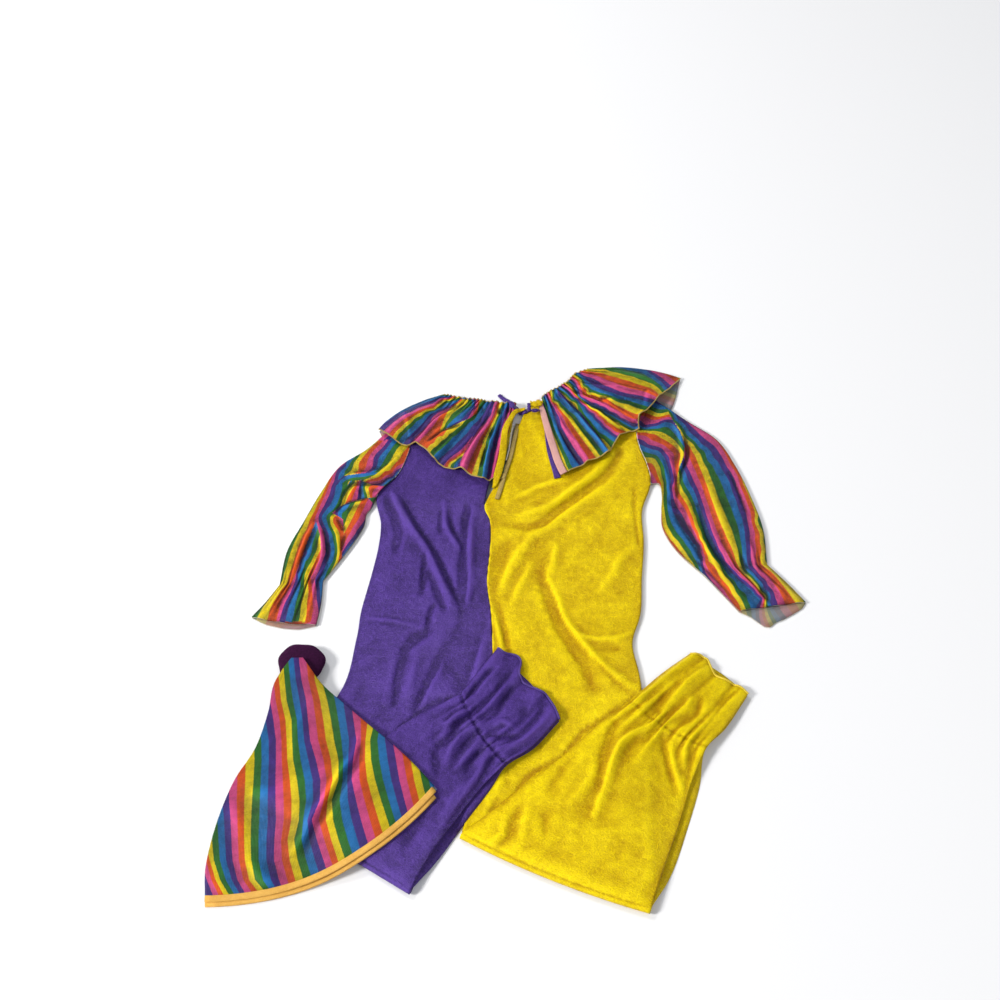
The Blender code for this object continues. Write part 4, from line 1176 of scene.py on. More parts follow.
def backPanel(colour):
    # the panel rests on what is laid and rises by its loft, creases and crinkle, and stops
    # short of the knee's fold
    spec = backs[colour]
    plan = bodyPlan(spec["rows"], spec["side"], 250, 76)
    inset = draft["kneeRoll"] + draft["kneeInset"]
    plan = drawIn(plan[::-1], -outOfKnee(plan[-1], plan[-2]) * inset, 12)[::-1]
    fade = edgeFade(plan.shape, 10, 30)
    lift = panelCloth["loft"] * edgeFade(plan.shape, 4, 8)
    lift += pressed(plan, spec["creases"], draft["panelHeight"]) * spec["press"] * fade
    lift += crinkle(plan, panelCloth["crinkle"], spec["seed"]) * fade
    points = withHeight(plan, restOn(plan) + draft["wall"] + np.maximum(lift, -0.3))
    layDown(points)
    return clothGrid("back_" + colour + "_cloth", points, colour, panelCloth["wall"])


settleIn(backPanel("purple"), "back_purple")
settleIn(backPanel("yellow"), "back_yellow")
print("back panels laid")

settleIn(sleevePiece("left", "upper"), "sleeve_left_upper")
settleIn(sleevePiece("right", "upper"), "sleeve_right_upper")
print("sleeves laid")


# legs folded up at the knee: "hem" is how far the frill's hem moves out, as shares across and mm
legs = {}
legs["purple"] = {
    "calf": purpleCalf, "frill": purpleFrill, "seed": 31,
    "hem": [(0.02, 6), (0.09, 5.4), (0.16, 11.5), (0.23, 13), (0.29, 8), (0.34, -2.4), (0.45, -6.3),
        (0.59, -1.6), (0.71, 3.9), (0.84, 2.9), (1, 0)],
    "creases": [
        ([(472, 706), (456, 712), (446, 721)], 2.6, -1.8),
        ([(476, 713), (462, 722), (450, 738), (437, 748), (435, 765)], 3.4, -2.6),
        ([(484, 727), (469, 741), (456, 757)], 3.0, -2.2),
        ([(489, 738), (475, 756), (466, 771)], 3.0, -2.0),
        ([(472, 710), (452, 722), (443, 735)], 3.2, 2.2),
        ([(480, 721), (463, 735), (452, 748), (446, 762)], 3.2, 2.4),
        ([(487, 733), (472, 750), (458, 768)], 3.4, 2.2),
        ([(495, 748), (488, 768), (476, 788), (458, 812), (440, 840)], 4.0, -2.4),
        ([(489, 750), (478, 775), (458, 803), (440, 830)], 4.0, 2.4),
        ([(464, 783), (452, 800), (440, 822)], 4.0, 1.6),
        ([(437, 757), (436, 775)], 4.0, -1.6),
        ([(424, 820), (411, 834), (402, 848)], 5.0, -1.6),
        ([(479, 712), (490, 700), (500, 686), (512, 672)], 3.2, -2.6),
        ([(484, 722), (496, 714), (505, 700), (514, 686)], 3.2, -2.4),
        ([(490, 736), (502, 737), (517, 737)], 2.8, -2.4),
        ([(500, 747), (520, 735), (535, 720), (545, 704)], 3.2, -2.8),
        ([(485, 710), (496, 698), (506, 686)], 3.0, 2.0),
        ([(493, 728), (503, 722), (514, 727)], 2.6, 2.0),
        ([(502, 750), (522, 742), (540, 727), (552, 713)], 3.0, 2.6),
        ([(520, 722), (526, 706)], 6.0, -2.0),
        ([(466, 698), (480, 683), (492, 669)], 3.0, -2.4),
        ([(484, 676), (497, 668)], 4.0, -2.4),
        ([(478, 690), (490, 677), (502, 663)], 3.2, 2.2),
    ],
}
legs["yellow"] = {
    "calf": yellowCalf, "frill": yellowFrill, "seed": 37,
    "hem": [(0, 0), (0.12, 4.8), (0.25, 3.6), (0.37, -3.8), (0.51, -8), (0.66, -5.4), (0.84, -0.8), (1, 0)],
    "creases": [
        ([(657, 723), (640, 730), (622, 742), (613, 760), (605, 785), (594, 815)], 4.0, 3.2, 0.25),
        ([(618, 712), (610, 735), (603, 760), (600, 790)], 5.0, -2.4),
        ([(652, 729), (636, 741), (626, 757)], 7.0, -1.8),
        ([(696, 748), (690, 772), (686, 800), (677, 830)], 3.2, -2.0),
        ([(671, 742), (675, 765), (684, 790)], 3.2, 1.6),
        ([(663, 733), (667, 755), (676, 792)], 4.0, -1.6),
        ([(687, 745), (684, 765)], 3.0, 1.6),
        ([(598, 762), (586, 785), (571, 802)], 5.0, 1.5),
        ([(575, 752), (558, 775), (548, 795)], 6.0, -1.3),
        ([(508, 813), (503, 830), (505, 852)], 3.6, 1.2),
        ([(520, 804), (512, 822), (508, 846)], 4.0, -0.9),
        ([(528, 806), (524, 826), (520, 846)], 4.0, 1.2),
        ([(546, 812), (544, 838)], 4.0, -0.7),
        ([(662, 709), (675, 695), (690, 678), (705, 666)], 3.0, 2.2),
        ([(656, 704), (668, 691), (681, 678)], 4.0, -2.0),
        ([(697, 738), (714, 716), (729, 697), (741, 686)], 2.8, -2.4),
        ([(702, 733), (716, 714), (733, 695)], 3.4, 2.0),
        ([(684, 724), (697, 713), (702, 697)], 3.4, -2.0),
        ([(676, 716), (687, 707), (692, 694)], 3.4, 1.8),
    ],
}
turnAngles = np.radians([-78, -62, -46, -30, -15, 0, 15, 30, 46, 62, 78])   # rows round the knee


def legInner(colour, out):
    # the leg's folded inner layers: a flattened closed fold, one ring at each section
    spec = legs[colour]
    step = [0, 9, 9, 9, 0]
    rows = [(a, b, c + more, d, e) for (a, b, c, d, e), more in zip(spec["calf"], step)]
    along, across = 90, 46
    plan = planOf(rows + spec["frill"][1:], along, across)
    plan = drawIn(plan, -out * (draft["kneeRoll"] + draft["kneeInset"]), 10)
    low = restOn(plan)
    s = np.linspace(-1, 1, across)[None, :]
    t = (np.arange(along) / (along - 1))[:, None]
    rounded = np.sqrt(np.clip(1 - np.abs(s) ** 6, 0, 1))
    ends = np.clip(6 * (1 - t), 0, 1) * np.clip(0.45 + 3 * t, 0, 1)
    height = (0.9 + 2.9 * rounded * ends) * np.clip(1 - np.abs(s) ** 60, 0.2, 1)
    height += 0.5 * np.exp(-((s - 0.80) / 0.05) ** 2)
    top = withHeight(plan, low + height)
    layDown(top)
    ring = np.concatenate([withHeight(plan, low), top[:, ::-1]], axis=1)
    ring = np.concatenate([ring, ring[:, :1]], axis=1)
    return ring


def closedBand(name, ring, look):
    # rings joined along the piece, each end filled across by four-sided faces
    rows, columns = ring.shape[0], ring.shape[1] - 1
    number = np.arange(rows * columns).reshape(rows, columns)
    wrap = np.concatenate([number, number[:, :1]], axis=1)
    quads = np.stack([wrap[:-1, :-1], wrap[1:, :-1], wrap[1:, 1:], wrap[:-1, 1:]], -1).reshape(-1, 4)
    caps = []
    half = columns // 2
    for row, flip in ((0, 1), (rows - 1, -1)):
        left, right = number[row, :half], number[row, half:][::-1]
        for k in range(half - 1):
            caps.append([left[k], left[k + 1], right[k + 1], right[k]][::flip])
    faces = np.concatenate([quads, np.array(caps)])
    points = ring[:, :-1].reshape(-1, 3)
    volume = np.einsum("ij,ij->", points[faces[:, 0]], np.cross(points[faces[:, 1]], points[faces[:, 2]]))
    if volume < 0:
        faces = faces[:, ::-1]
    mesh = bpy.data.meshes.new(name)
    mesh.from_pydata(toFrame(points), [], faces)
    cloth = clothOf(ring)[:, :-1].reshape(-1, 2)
    layer = mesh.uv_layers.new(name="cloth")
    layer.data.foreach_set("uv", cloth[faces.ravel()].ravel())
    mesh.materials.append(materials[look])
    mesh.shade_smooth()
    piece = bpy.data.objects.new(name, mesh)
    bpy.context.collection.objects.link(piece)
    return piece


up = np.array([0, 0, 1.0])
legCloth = {"loft": 2.0, "crinkle": 0.8, "wall": 1.2}


def serging(name, edge, look, width, thick, pitch):
    # overlock thread along an edge: a flat oval that swells at each stitch
    step = np.linalg.norm(np.diff(edge, axis=0), axis=1)
    length = np.concatenate([[0], np.cumsum(step)])
    place = np.linspace(0, length[-1], int(length[-1] / pitch * 4))
    path = np.stack([np.interp(place, length, edge[:, k]) for k in range(3)], axis=-1)
    way = np.gradient(path, axis=0)
    side = np.stack([-way[:, 1], way[:, 0], 0 * way[:, 0]], axis=1)
    side /= np.maximum(np.linalg.norm(side, axis=1, keepdims=True), 1e-9)
    swell = (0.86 + 0.14 * np.cos(2 * np.pi * place / pitch))[:, None]
    turn = np.linspace(0, 2 * np.pi, 9)[:-1]
    shape = (path[:, None] + side[:, None] * (width / 2 * swell * np.cos(turn))[..., None]
             + up * (thick * swell * np.sin(turn))[..., None])
    shape[..., 2] = np.maximum(shape[..., 2], 0.02)
    piece = closedBand(name, np.concatenate([shape, shape[:, :1]], axis=1), look)
    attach(piece, "root")


def foldLeg(colour, lower):
    # the front panel in one: its lower run, a half turn at the knee, and the calf and frill on
    # top, which rest on the inner layers and rise by loft, creases, crinkle and gathers
    spec = legs[colour]
    calfAlong, frillAlong, across = 105, 40, legAcross
    frill = planOf(spec["frill"], frillAlong, across)
    plan = np.concatenate([planOf(spec["calf"], calfAlong, across), frill[1:]])
    plan = drawIn(plan, (lower[-1, :, :2] - plan[0])[None], 12)
    out = outOfKnee(plan[0], plan[40])
    inner = closedBand("leg_" + colour + "_inner", legInner(colour, out), colour)

    s = np.linspace(0, 1, across)
    t = (np.arange(plan.shape[0]) - (calfAlong - 1))[:, None]
    grow = np.clip(t / (frillAlong - 1), 0, 1) ** 2
    hem = np.array(spec["hem"])
    outward = plan[-1] - plan[-frillAlong]
    outward /= np.linalg.norm(outward, axis=-1, keepdims=True)
    push = np.interp(s, hem[:, 0], hem[:, 1])
    push = np.convolve(np.pad(push, 2, mode="edge"), np.ones(5) / 5, mode="valid")
    plan += grow[..., None] * (outward * push[:, None])[None]

    fade = edgeFade(plan.shape, 8, 400)
    start = np.clip(np.arange(plan.shape[0]) / 9, 0, 1)[:, None]
    lift = legCloth["loft"] * edgeFade(plan.shape, 14, 40)
    lift += pressed(plan, spec["creases"], draft["legHeight"]) * fade
    lift += crinkle(plan, legCloth["crinkle"], spec["seed"]) * fade
    lift += ankleGathers(plan.shape, calfAlong, spec["seed"], colour)
    lift *= start
    z = restOn(plan) + draft["wall"] + np.maximum(lift, -0.2)
    thin = lower[-1:, :, 2] + draft["foldedHeight"]
    z = np.where(start < 1, thin + (z[9:10] - thin) * np.sqrt(np.clip(start * (2 - start), 0, 1)), z)
    top = withHeight(plan, z)
    layDown(top)
    under, over = lower[-1], top[0]
    middle, half = (under + over) / 2, (over - under) / 2
    roll = np.array([*out, 0]) * draft["kneeRoll"]
    turn = np.stack([middle + half * np.sin(a) + roll * np.cos(a) for a in turnAngles])
    points = np.concatenate([lower, turn, top])
    thread = {"purple": "purpleThread", "yellow": "yellowThread"}[colour]
    serging("overlock_leg_" + colour, top[-1] + np.array([0, 0, 0.3]), thread, 2.6, 0.8, 2.2)
    return clothGrid("front_" + colour + "_cloth", points, colour, legCloth["wall"]), inner


# reaches are in rows from the elastic, heights and depths in mm
ankle = {
    "tightWaves": 15, "tightHeight": 1.6, "tightReach": 6,
    "looseWaves": 6.5, "looseHeight": 3.0, "looseReach": 18,
    "frillWaves": 3.5, "frillHeight": 3.0, "frillRows": 39,
    "pinch": {"yellow": 1.0, "purple": 2.2},
}


def ankleGathers(shape, calfAlong, seed, colour):
    # tight puckers at the elastic that open into fewer, longer folds on both sides of it,
    # and a seam pressed in along the elastic
    rng = np.random.default_rng(seed)
    s = np.linspace(0, 1, shape[1])[None, :]
    t = (np.arange(shape[0]) - (calfAlong - 1))[:, None].astype(float)
    warp = s + 0.025 * np.sin(2 * np.pi * (3 * s + rng.uniform()))
    warp += 0.012 * np.sin(2 * np.pi * (7 * s + rng.uniform()))
    tight = 0.5 - 0.5 * np.cos(2 * np.pi * ankle["tightWaves"] * warp)
    loose = (0.5 - 0.5 * np.cos(2 * np.pi * ankle["looseWaves"] * warp + 0.9)) ** 1.3
    reach = 10 + 12 * (0.5 + 0.5 * np.sin(2 * np.pi * (2.3 * s + rng.uniform())))
    wave = 0.5 - 0.5 * np.cos(2 * np.pi * ankle["frillWaves"] * warp + 2.0)
    frill = np.clip(t / ankle["frillRows"], 0, 1)
    below = np.exp(-(np.minimum(t, 0) / reach) ** 2) * np.exp(-(np.maximum(t, 0) / ankle["looseReach"]) ** 2)
    lift = ankle["tightHeight"] * np.exp(-(t / ankle["tightReach"]) ** 2) * tight
    lift += ankle["looseHeight"] * below * loose
    lift += ankle["frillHeight"] * frill * wave
    return lift - ankle["pinch"][colour] * np.exp(-t ** 2)


yellowFront, yellowInner = foldLeg("yellow", yellowLow)
purpleFront, purpleInner = foldLeg("purple", purpleLow)
settleIn(yellowInner, "leg_layers_yellow")
settleIn(purpleInner, "leg_layers_purple")
settleIn(yellowFront, "front_yellow")
settleIn(purpleFront, "front_purple")
print("legs folded")


# hat: x of every third edge between stripes, along lines across the hat at each y of the
# frame; "levels" are the stripe numbers at those marks, the outermost ones past its edges
hatStripes = {
    "levels": [-9, -6, -3, 0, 3, 6, 9, 12, 15, 18, 21, 24, 27, 30],
    "y": [660, 680, 700, 720, 740, 760, 780, 800, 820, 840, 860, 880, 895],
    "x": [
        (174, 196, 219, 241, 262, 283, 299, 321, 343, 365, 387),
        (177, 199, 222, 245, 268, 284.5, 301.5, 321.5, 347, 368, 391),
        (180, 202, 225, 248, 270, 286.5, 306, 327, 351, 370, 393),
        (182, 204, 226, 250, 273.5, 291.5, 308, 331, 353.5, 375, 392),
        (183, 205, 227, 254, 276, 292, 310, 334, 356.5, 370, 392.5),
        (184, 206, 228, 254.5, 276, 293, 316, 338.5, 353, 371, 396),
        (186, 208, 229, 253.5, 275.5, 297, 320.5, 338.5, 351.5, 375, 399.5),
        (188, 209, 229, 252, 275.5, 299.5, 320, 331.5, 356, 381, 404.5),
        (189, 211, 230.5, 251, 276, 299, 311.5, 333, 361, 387.5, 410),
        (190, 212, 231.5, 250.5, 274.5, 294, 317, 338.5, 367, 394, 416),
        (202, 213.5, 232.5, 251, 274, 297.5, 323.5, 345, 373, 401, 422),
        (207, 220, 237.5, 255, 279, 303.5, 330, 352, 379, 408, 428),
        (213, 229, 246, 268, 285, 308, 335, 357, 384, 413, 433),
    ],
    "creases": [
        ([(357, 745), (352, 762), (345, 770), (330, 795), (312, 820), (305, 835), (293, 850)], 4.5, 2.6,
            -0.35),
        ([(362, 746), (358, 765), (337, 798), (319, 825), (304, 850)], 3.5, -1.4),
        ([(306, 702), (296, 726), (293, 750)], 7.0, 1.2),
        ([(226, 801), (233, 815), (239, 836)], 8.0, 1.6),
        ([(247, 859), (260, 875), (273, 885)], 6.0, 1.8),
        ([(228, 850), (230, 868), (237, 884)], 6.0, -1.2),
        ([(208, 878), (216, 886), (224, 892)], 5.0, 1.4),
    ],
}
hatCloth = {"loft": 1.4, "crinkle": 0.5, "seed": 71}
binding = {"width": 6.5, "shows": 4.0, "half": 1.35, "laps": 1.2, "groove": 0.35}   # in mm


def hatStripeCount(points):
    # marks straight between the lines, and stripe numbers straight between the marks
    ys, xs = np.array(hatStripes["y"]), np.array(hatStripes["x"])
    xs = np.concatenate([xs[:, :1] - 22, xs, xs[:, -1:] + 22, xs[:, -1:] + 44], axis=1)
    spots = inFrame(points)
    marks = np.stack([np.interp(spots[..., 1], ys, xs[:, k]) for k in range(xs.shape[1])], axis=-1)
    return stripesAcross(marks, spots[..., 0], hatStripes["levels"])


pompon = {"x": -207.0, "y": -213.0, "radiusX": 24.5, "radiusY": 23.0, "radiusZ": 7.5}


def wrappedBall(name, points, look, cloth=None):
    # rings closed round the ball and welded at its poles; the last column repeats the first
    flat = points[:, :-1]
    rows, columns = flat.shape[:2]
    number = np.arange(rows * columns).reshape(rows, columns)
    wrap = np.concatenate([number, number[:, :1]], axis=1)
    quads = np.stack([wrap[:-1, :-1], wrap[:-1, 1:], wrap[1:, 1:], wrap[1:, :-1]], -1).reshape(-1, 4)
    mesh = bpy.data.meshes.new(name)
    mesh.from_pydata(toFrame(flat.reshape(-1, 3)), [], quads)
    if cloth is not None:
        layer = mesh.uv_layers.new(name="cloth")
        layer.data.foreach_set("uv", cloth[quads.ravel()].ravel())
    mesh.materials.append(look)
    mesh.shade_smooth()
    piece = bpy.data.objects.new(name, mesh)
    bpy.context.collection.objects.link(piece)
    weld = piece.modifiers.new("poles", "WELD")
    weld.merge_threshold = 0.00005
    return piece


def pomponPiece():
    # a flattened ball with a slight wobble, its underside cut flat
    u = np.linspace(0, 2 * np.pi, 97)
    v = np.linspace(-np.pi / 2, np.pi / 2, 49)
    ring, rise = np.meshgrid(u, v)
    r = np.cos(rise)
    shape = np.stack([np.cos(ring) * r * pompon["radiusX"], np.sin(ring) * r * pompon["radiusY"],
                      np.sin(rise) * pompon["radiusZ"]], axis=-1)
    wobble = 1 + 0.035 * np.sin(3 * ring + 0.6) * r + 0.02 * np.sin(7 * ring) * r
    shape[..., :2] *= wobble[..., None]
    place = np.array([pompon["x"], pompon["y"], pompon["radiusZ"]])
    shape[..., 2] = np.maximum(shape[..., 2], -pompon["radiusZ"] * 0.93)
    points = shape + place
    layDown(points[24:])   # the upper half
    return wrappedBall("pompon_pile", points, plumMaterial)


def plumLook():
    # short pile: a fine noise mottles the plum and roughens it
    look = bpy.data.materials.new("plumPile")
    look.use_nodes = True
    tree = look.node_tree
    shader = tree.nodes["Principled BSDF"]
    coords = addNode(tree, "ShaderNodeTexCoord")
    nap = addNode(tree, "ShaderNodeTexNoise", Scale=420.0, Detail=4.0)
    tree.links.new(coords.outputs["Object"], nap.inputs["Vector"])
    mix = addNode(tree, "ShaderNodeMix", data_type="RGBA")
    mix.inputs[6].default_value = (0.010, 0.0006, 0.009, 1)
    mix.inputs[7].default_value = (0.040, 0.003, 0.034, 1)
    tree.links.new(nap.outputs[0], mix.inputs["Factor"])
    tree.links.new(mix.outputs[2], shader.inputs["Base Color"])
    shader.inputs["Roughness"].default_value = 0.95
    shader.inputs["Specular IOR Level"].default_value = 0.15
    shader.inputs["Sheen Weight"].default_value = 0.16
    shader.inputs["Sheen Tint"].default_value = (0.5, 0.08, 0.5, 1)
    bump = addNode(tree, "ShaderNodeBump")
    bump.inputs["Strength"].default_value = 0.9
    bump.inputs["Distance"].default_value = 0.001
    tree.links.new(nap.outputs[0], bump.inputs["Height"])
    tree.links.new(bump.outputs["Normal"], shader.inputs["Normal"])
    return look


plumMaterial = plumLook()
pomponBall = pomponPiece()
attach(pomponBall, "root")
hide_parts("pompon")


def hatHalf(layer):
    # the half rests on what is laid; the upper one rises by its loft, creases and crinkle, the
    # lower one shows past it at the brim
    upper = layer == "upper"
    along, across = (170, 110) if upper else (60, 44)
    plan = planOf(hatRows, along, across)
    outward = plan[-1] - plan[-2]
    outward /= np.linalg.norm(outward, axis=-1, keepdims=True)
    if not upper:
        grow = (np.linspace(0, 1, along) ** 12)[:, None, None]
        plan = plan + grow * (outward * binding["shows"])[None]
    z = restOn(plan, (26, 20, 16, 12, 9, 7, 5, 4, 3, 2, 2)) + draft["wall"]
    if upper:
        fade = edgeFade(plan.shape, 8, 30)
        creases = pressed(plan, hatStripes["creases"], draft["hatHeight"])
        rough = crinkle(plan, hatCloth["crinkle"], hatCloth["seed"])
        lift = hatCloth["loft"] * edgeFade(plan.shape, 3, 10) + (creases + rough) * fade
        z = z + np.maximum(lift, -0.2)
    edge = withHeight(plan[-1], z[-1])
    points = withHeight(plan, z)
    stripe = hatStripeCount(points)
    looks = ["hatStripe", "stripeBack", "hatStripe"] if upper else ["stripeBack", "hatStripe", "hatStripe"]
    piece = clothGrid("hat_" + layer + "_cloth", points, looks, 0.9 if upper else 1.2, stripe)
    tape = bindingTape(layer, edge, outward)
    layDown(points)
    return piece, tape


def ovalSection(count, sides, crown):
    # places across and up a flat oval: cosine and sine, their sizes to a power
    turn = np.linspace(0, 2 * np.pi, count + 1)[:-1]
    lean = np.sign(np.cos(turn)) * np.abs(np.cos(turn)) ** sides
    rise = np.sign(np.sin(turn)) * np.abs(np.sin(turn)) ** crown
    return lean, rise


def bindingTape(layer, edge, outward):
    # folded tape round the brim: a flat oval carried along the hat's edge, with a groove where
    # it is sewn
    knots = edge[::2]
    out = np.concatenate([outward[::2], np.zeros((len(knots), 1))], axis=1)
    wide, thick = binding["width"] / 2, binding["half"]
    middle = knots + out * (wide - binding["laps"])
    middle[:, 2] = np.maximum(middle[:, 2] - 0.4, thick + 0.02)
    lean, rise = ovalSection(20, 0.55, 0.75)
    shape = (middle[:, None] + out[:, None] * (wide * lean)[None, :, None]
             + up * (thick * rise)[None, :, None])
    groove = binding["groove"] * np.exp(-((lean + 0.55) / 0.12) ** 2) * (rise > 0)
    shape[..., 2] -= groove[None, :]
    ring = np.concatenate([shape, shape[:, :1]], axis=1)
    layDown(shape)
    return closedBand("hat_binding_" + layer + "_tape", ring, "amber")


for layer in ("lower", "upper"):
    cloth, tape = hatHalf(layer)
    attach(tape, "root")
    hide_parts("hat_binding_" + layer)
    settleIn(cloth, "hat_" + layer)
print("hat laid")


# collar's back half: each rib is neck x y, hem x y, bow, lift
collars = {}
collars["left"] = [
    (19, 132, 3, 25, 0, 1.0), (7, 132, -9, 22, 0, 3.2), (4, 132, -12, 22, 0, 0.3),
    (-1, 132, -21, 21, 0, 4.4), (-3, 133, -33, 26, 0, 3.0), (-8, 134, -45, 34, 0, 5.2),
    (-14, 134, -55, 37, 0, 0.9), (-16, 134, -64, 40, 0, 0.2), (-19, 135, -70, 44, 0, 0.8),
    (-23, 136, -77, 50, 0, 5.0), (-29, 137, -85, 60, 0, 5.6), (-44, 139, -98, 74, 0, 3.0),
    (-58, 142, -109, 72, 0, 0.3), (-61, 143, -117, 75, 0, 1.4), (-65, 144, -129, 83, -2, 4.2),
    (-69, 145, -138, 91, -5, 3.2), (-72, 147, -143, 97, -9, 0.5),
]
collars["right"] = [
    (51, 139, 71, 29, 0, 0.8), (54, 143, 82, 34, 0, 3.0), (59, 147, 95, 41, 0, 1.8),
    (61, 149, 102, 45, 0, 4.4), (64, 151, 115, 50, 0, 3.4), (68, 154, 127, 58, 0, 5.6),
    (69, 155, 128, 63, 0, 0.6), (74, 159, 135, 75, 0, 3.0), (80, 165, 140, 83, 0, 4.6),
    (84, 168, 150, 91, 0, 1.4), (86, 171, 159, 94, 0, 0.3), (87, 172, 164, 96, 0, 0.6),
    (89, 174, 163, 102, 0, 4.2), (90, 176, 164, 111, 0, 6.6), (92, 179, 175, 122, 0, 3.8),
    (93, 181, 184, 135, 0, 2.8), (95, 183, 191, 144, 2, 5.6), (97, 184, 198, 152, 4, 4.4),
    (104, 188, 206, 161, 6, 2.8), (114, 193, 220, 179, 9, 0.5),
]

# pleats and hollows of the collar, each along places of the frame: width, height
collarPleats = {}
collarPleats["left"] = [
    ([(464, 401), (446, 408), (432, 415), (421, 429), (408, 442)], 3.2, -3.0),
    ([(450, 409), (435, 419), (424, 433), (417, 440)], 3.6, 2.6),
    ([(443, 430), (452, 426), (460, 423)], 2.6, -2.8), ([(446, 426), (437, 434), (428, 441)], 2.2, -2.2),
    ([(395, 412), (385, 420), (377, 430)], 4.0, 1.6),
    ([(436, 403), (414, 412), (396, 423), (386, 433)], 4.0, 2.2),
    ([(412, 435), (405, 439), (400, 442)], 4.0, -1.6),
    ([(490, 412), (482, 424), (472, 440), (465, 452)], 3.0, -3.4),
    ([(479, 410), (478, 416), (476, 421)], 3.0, -3.0),
    ([(495, 408), (488, 424), (475, 443), (466, 462), (463, 470)], 4.2, 3.4),
    ([(487, 443), (484, 454), (481, 466)], 2.4, -2.6),
    ([(495, 425), (492, 432), (490, 440)], 2.4, -2.2),
    ([(503, 409), (495, 430), (488, 452), (484, 478)], 2.8, 2.8),
    ([(507, 418), (502, 436), (497, 455), (492, 476)], 2.6, 1.8),
    ([(472, 432), (458, 447), (442, 461)], 3.2, 1.6),
    ([(460, 428), (443, 443), (431, 456)], 3.2, -1.4),
    ([(483, 405), (481, 410)], 2.0, -2.4), ([(500, 406), (499, 412)], 2.0, -2.4),
    ([(509, 405), (508, 410)], 2.0, -2.0),
]
collarPleats["right"] = [
    ([(570, 399), (574, 404), (578, 410)], 2.6, -3.0),
    ([(573, 383), (575, 388), (578, 393)], 2.4, -2.6),
    ([(567, 385), (573, 391), (578, 396)], 2.0, 1.6),
    ([(581, 413), (590, 425), (600, 438), (610, 452)], 2.2, -2.6),
    ([(577, 414), (588, 429), (598, 441), (606, 452)], 3.0, 2.4),
    ([(580, 397), (600, 407), (620, 419), (632, 425)], 3.4, -3.6),
    ([(586, 404), (601, 414), (619, 426)], 3.0, 2.4),
    ([(581, 393), (596, 400), (612, 408), (633, 419)], 3.6, 3.4),
    ([(583, 387), (593, 395), (610, 397)], 2.6, -2.6),
    ([(575, 378), (585, 388), (592, 394)], 2.4, 2.2),
    ([(606, 383), (627, 391), (650, 397)], 5.0, 2.2),
    ([(604, 376), (626, 383), (650, 391)], 3.4, -1.6),
    ([(612, 367), (640, 373), (662, 384)], 5.0, 2.0),
    ([(556, 408), (563, 425), (574, 442), (587, 463)], 3.6, 2.2),
    ([(553, 412), (561, 430), (570, 446), (580, 462)], 3.0, -2.2),
    ([(560, 408), (575, 425), (589, 444), (600, 458)], 4.0, 1.8),
    ([(545, 405), (554, 428), (564, 452)], 3.0, -1.6),
]


ruffle = {
    "readAt": 14,                     # height over the table where its pleats are read
    "tuckIn": 4.0,                    # how far its neck edge lies under the tape
    "loft": 1.5, "crinkle": 0.7, "seed": 53,
    "gatherPitch": 5.2, "gatherHeight": 2.2, "gatherReach": 0.25, "wall": 0.9,
}


def collarBack(side):
    # ribs from neck to hem; pleats open from the neck to the hem and small gathers
    # crowd at the neck edge
    table = np.array(collars[side], float)
    along, down = 330, 72
    place = np.linspace(0, len(table) - 1, along)
    low = np.minimum(place.astype(int), len(table) - 2)
    u = place - low
    smooth = u * u * (3 - 2 * u)
    ribs = np.stack([np.interp(place, np.arange(len(table)), table[:, k]) for k in range(5)], axis=-1)
    lift = (1 - smooth) * table[low, 5] + smooth * table[low + 1, 5]
    neck, hem, bow = ribs[:, None, 0:2], ribs[:, None, 2:4], ribs[:, None, 4:5]
    run = hem - neck
    neck = neck - run / np.linalg.norm(run, axis=-1, keepdims=True) * ruffle["tuckIn"]
    run = hem - neck
    t = np.linspace(0, 1, down)[None, :, None]
    square = np.stack([-run[..., 1], run[..., 0]], -1) / np.linalg.norm(run, axis=-1, keepdims=True)
    plan = neck + run * t + square * bow * 4 * t * (1 - t)
    t = t[..., 0]
    rise = ruffle["loft"] * lift[:, None] * (0.15 + 0.85 * t ** 0.7)
    phase = np.cumsum(np.concatenate([[0], np.linalg.norm(np.diff(ribs[:, 0:2], axis=0), axis=1)]))
    crowd = 0.5 - 0.5 * np.cos(2 * np.pi * (phase / ruffle["gatherPitch"] + 0.35 * np.sin(phase / 7.0)))
    rise = rise + ruffle["gatherHeight"] * crowd[:, None] * np.exp(-(t / ruffle["gatherReach"]) ** 2)
    rise = rise + crinkle(plan, ruffle["crinkle"], ruffle["seed"]) * np.clip(4 * t, 0, 1)
    pleats = [(onTable(line, ruffle["readAt"]), *rest) for line, *rest in collarPleats[side]]
    rise = rise + creaseHeight(plan, pleats)
    points = withHeight(plan, restOn(plan) + draft["wall"] + np.maximum(rise, 0))
    layDown(points)
    serging("overlock_" + side + "_hem", points[:, -1] - [0, 0, 0.45], "tanThread", 1.9, 0.8, 1.8)
    serging("overlock_" + side + "_neck", points[:, 0] - [0, 0, 0.45], "tanThread", 2.2, 0.8, 1.8)
    looks = ["stripe", "stripeBack", "paleThread"]
    stripe = stripesOn(points, collarStripes[side])
    return clothGrid("collar_" + side + "_back", points, looks, ruffle["wall"], stripe)


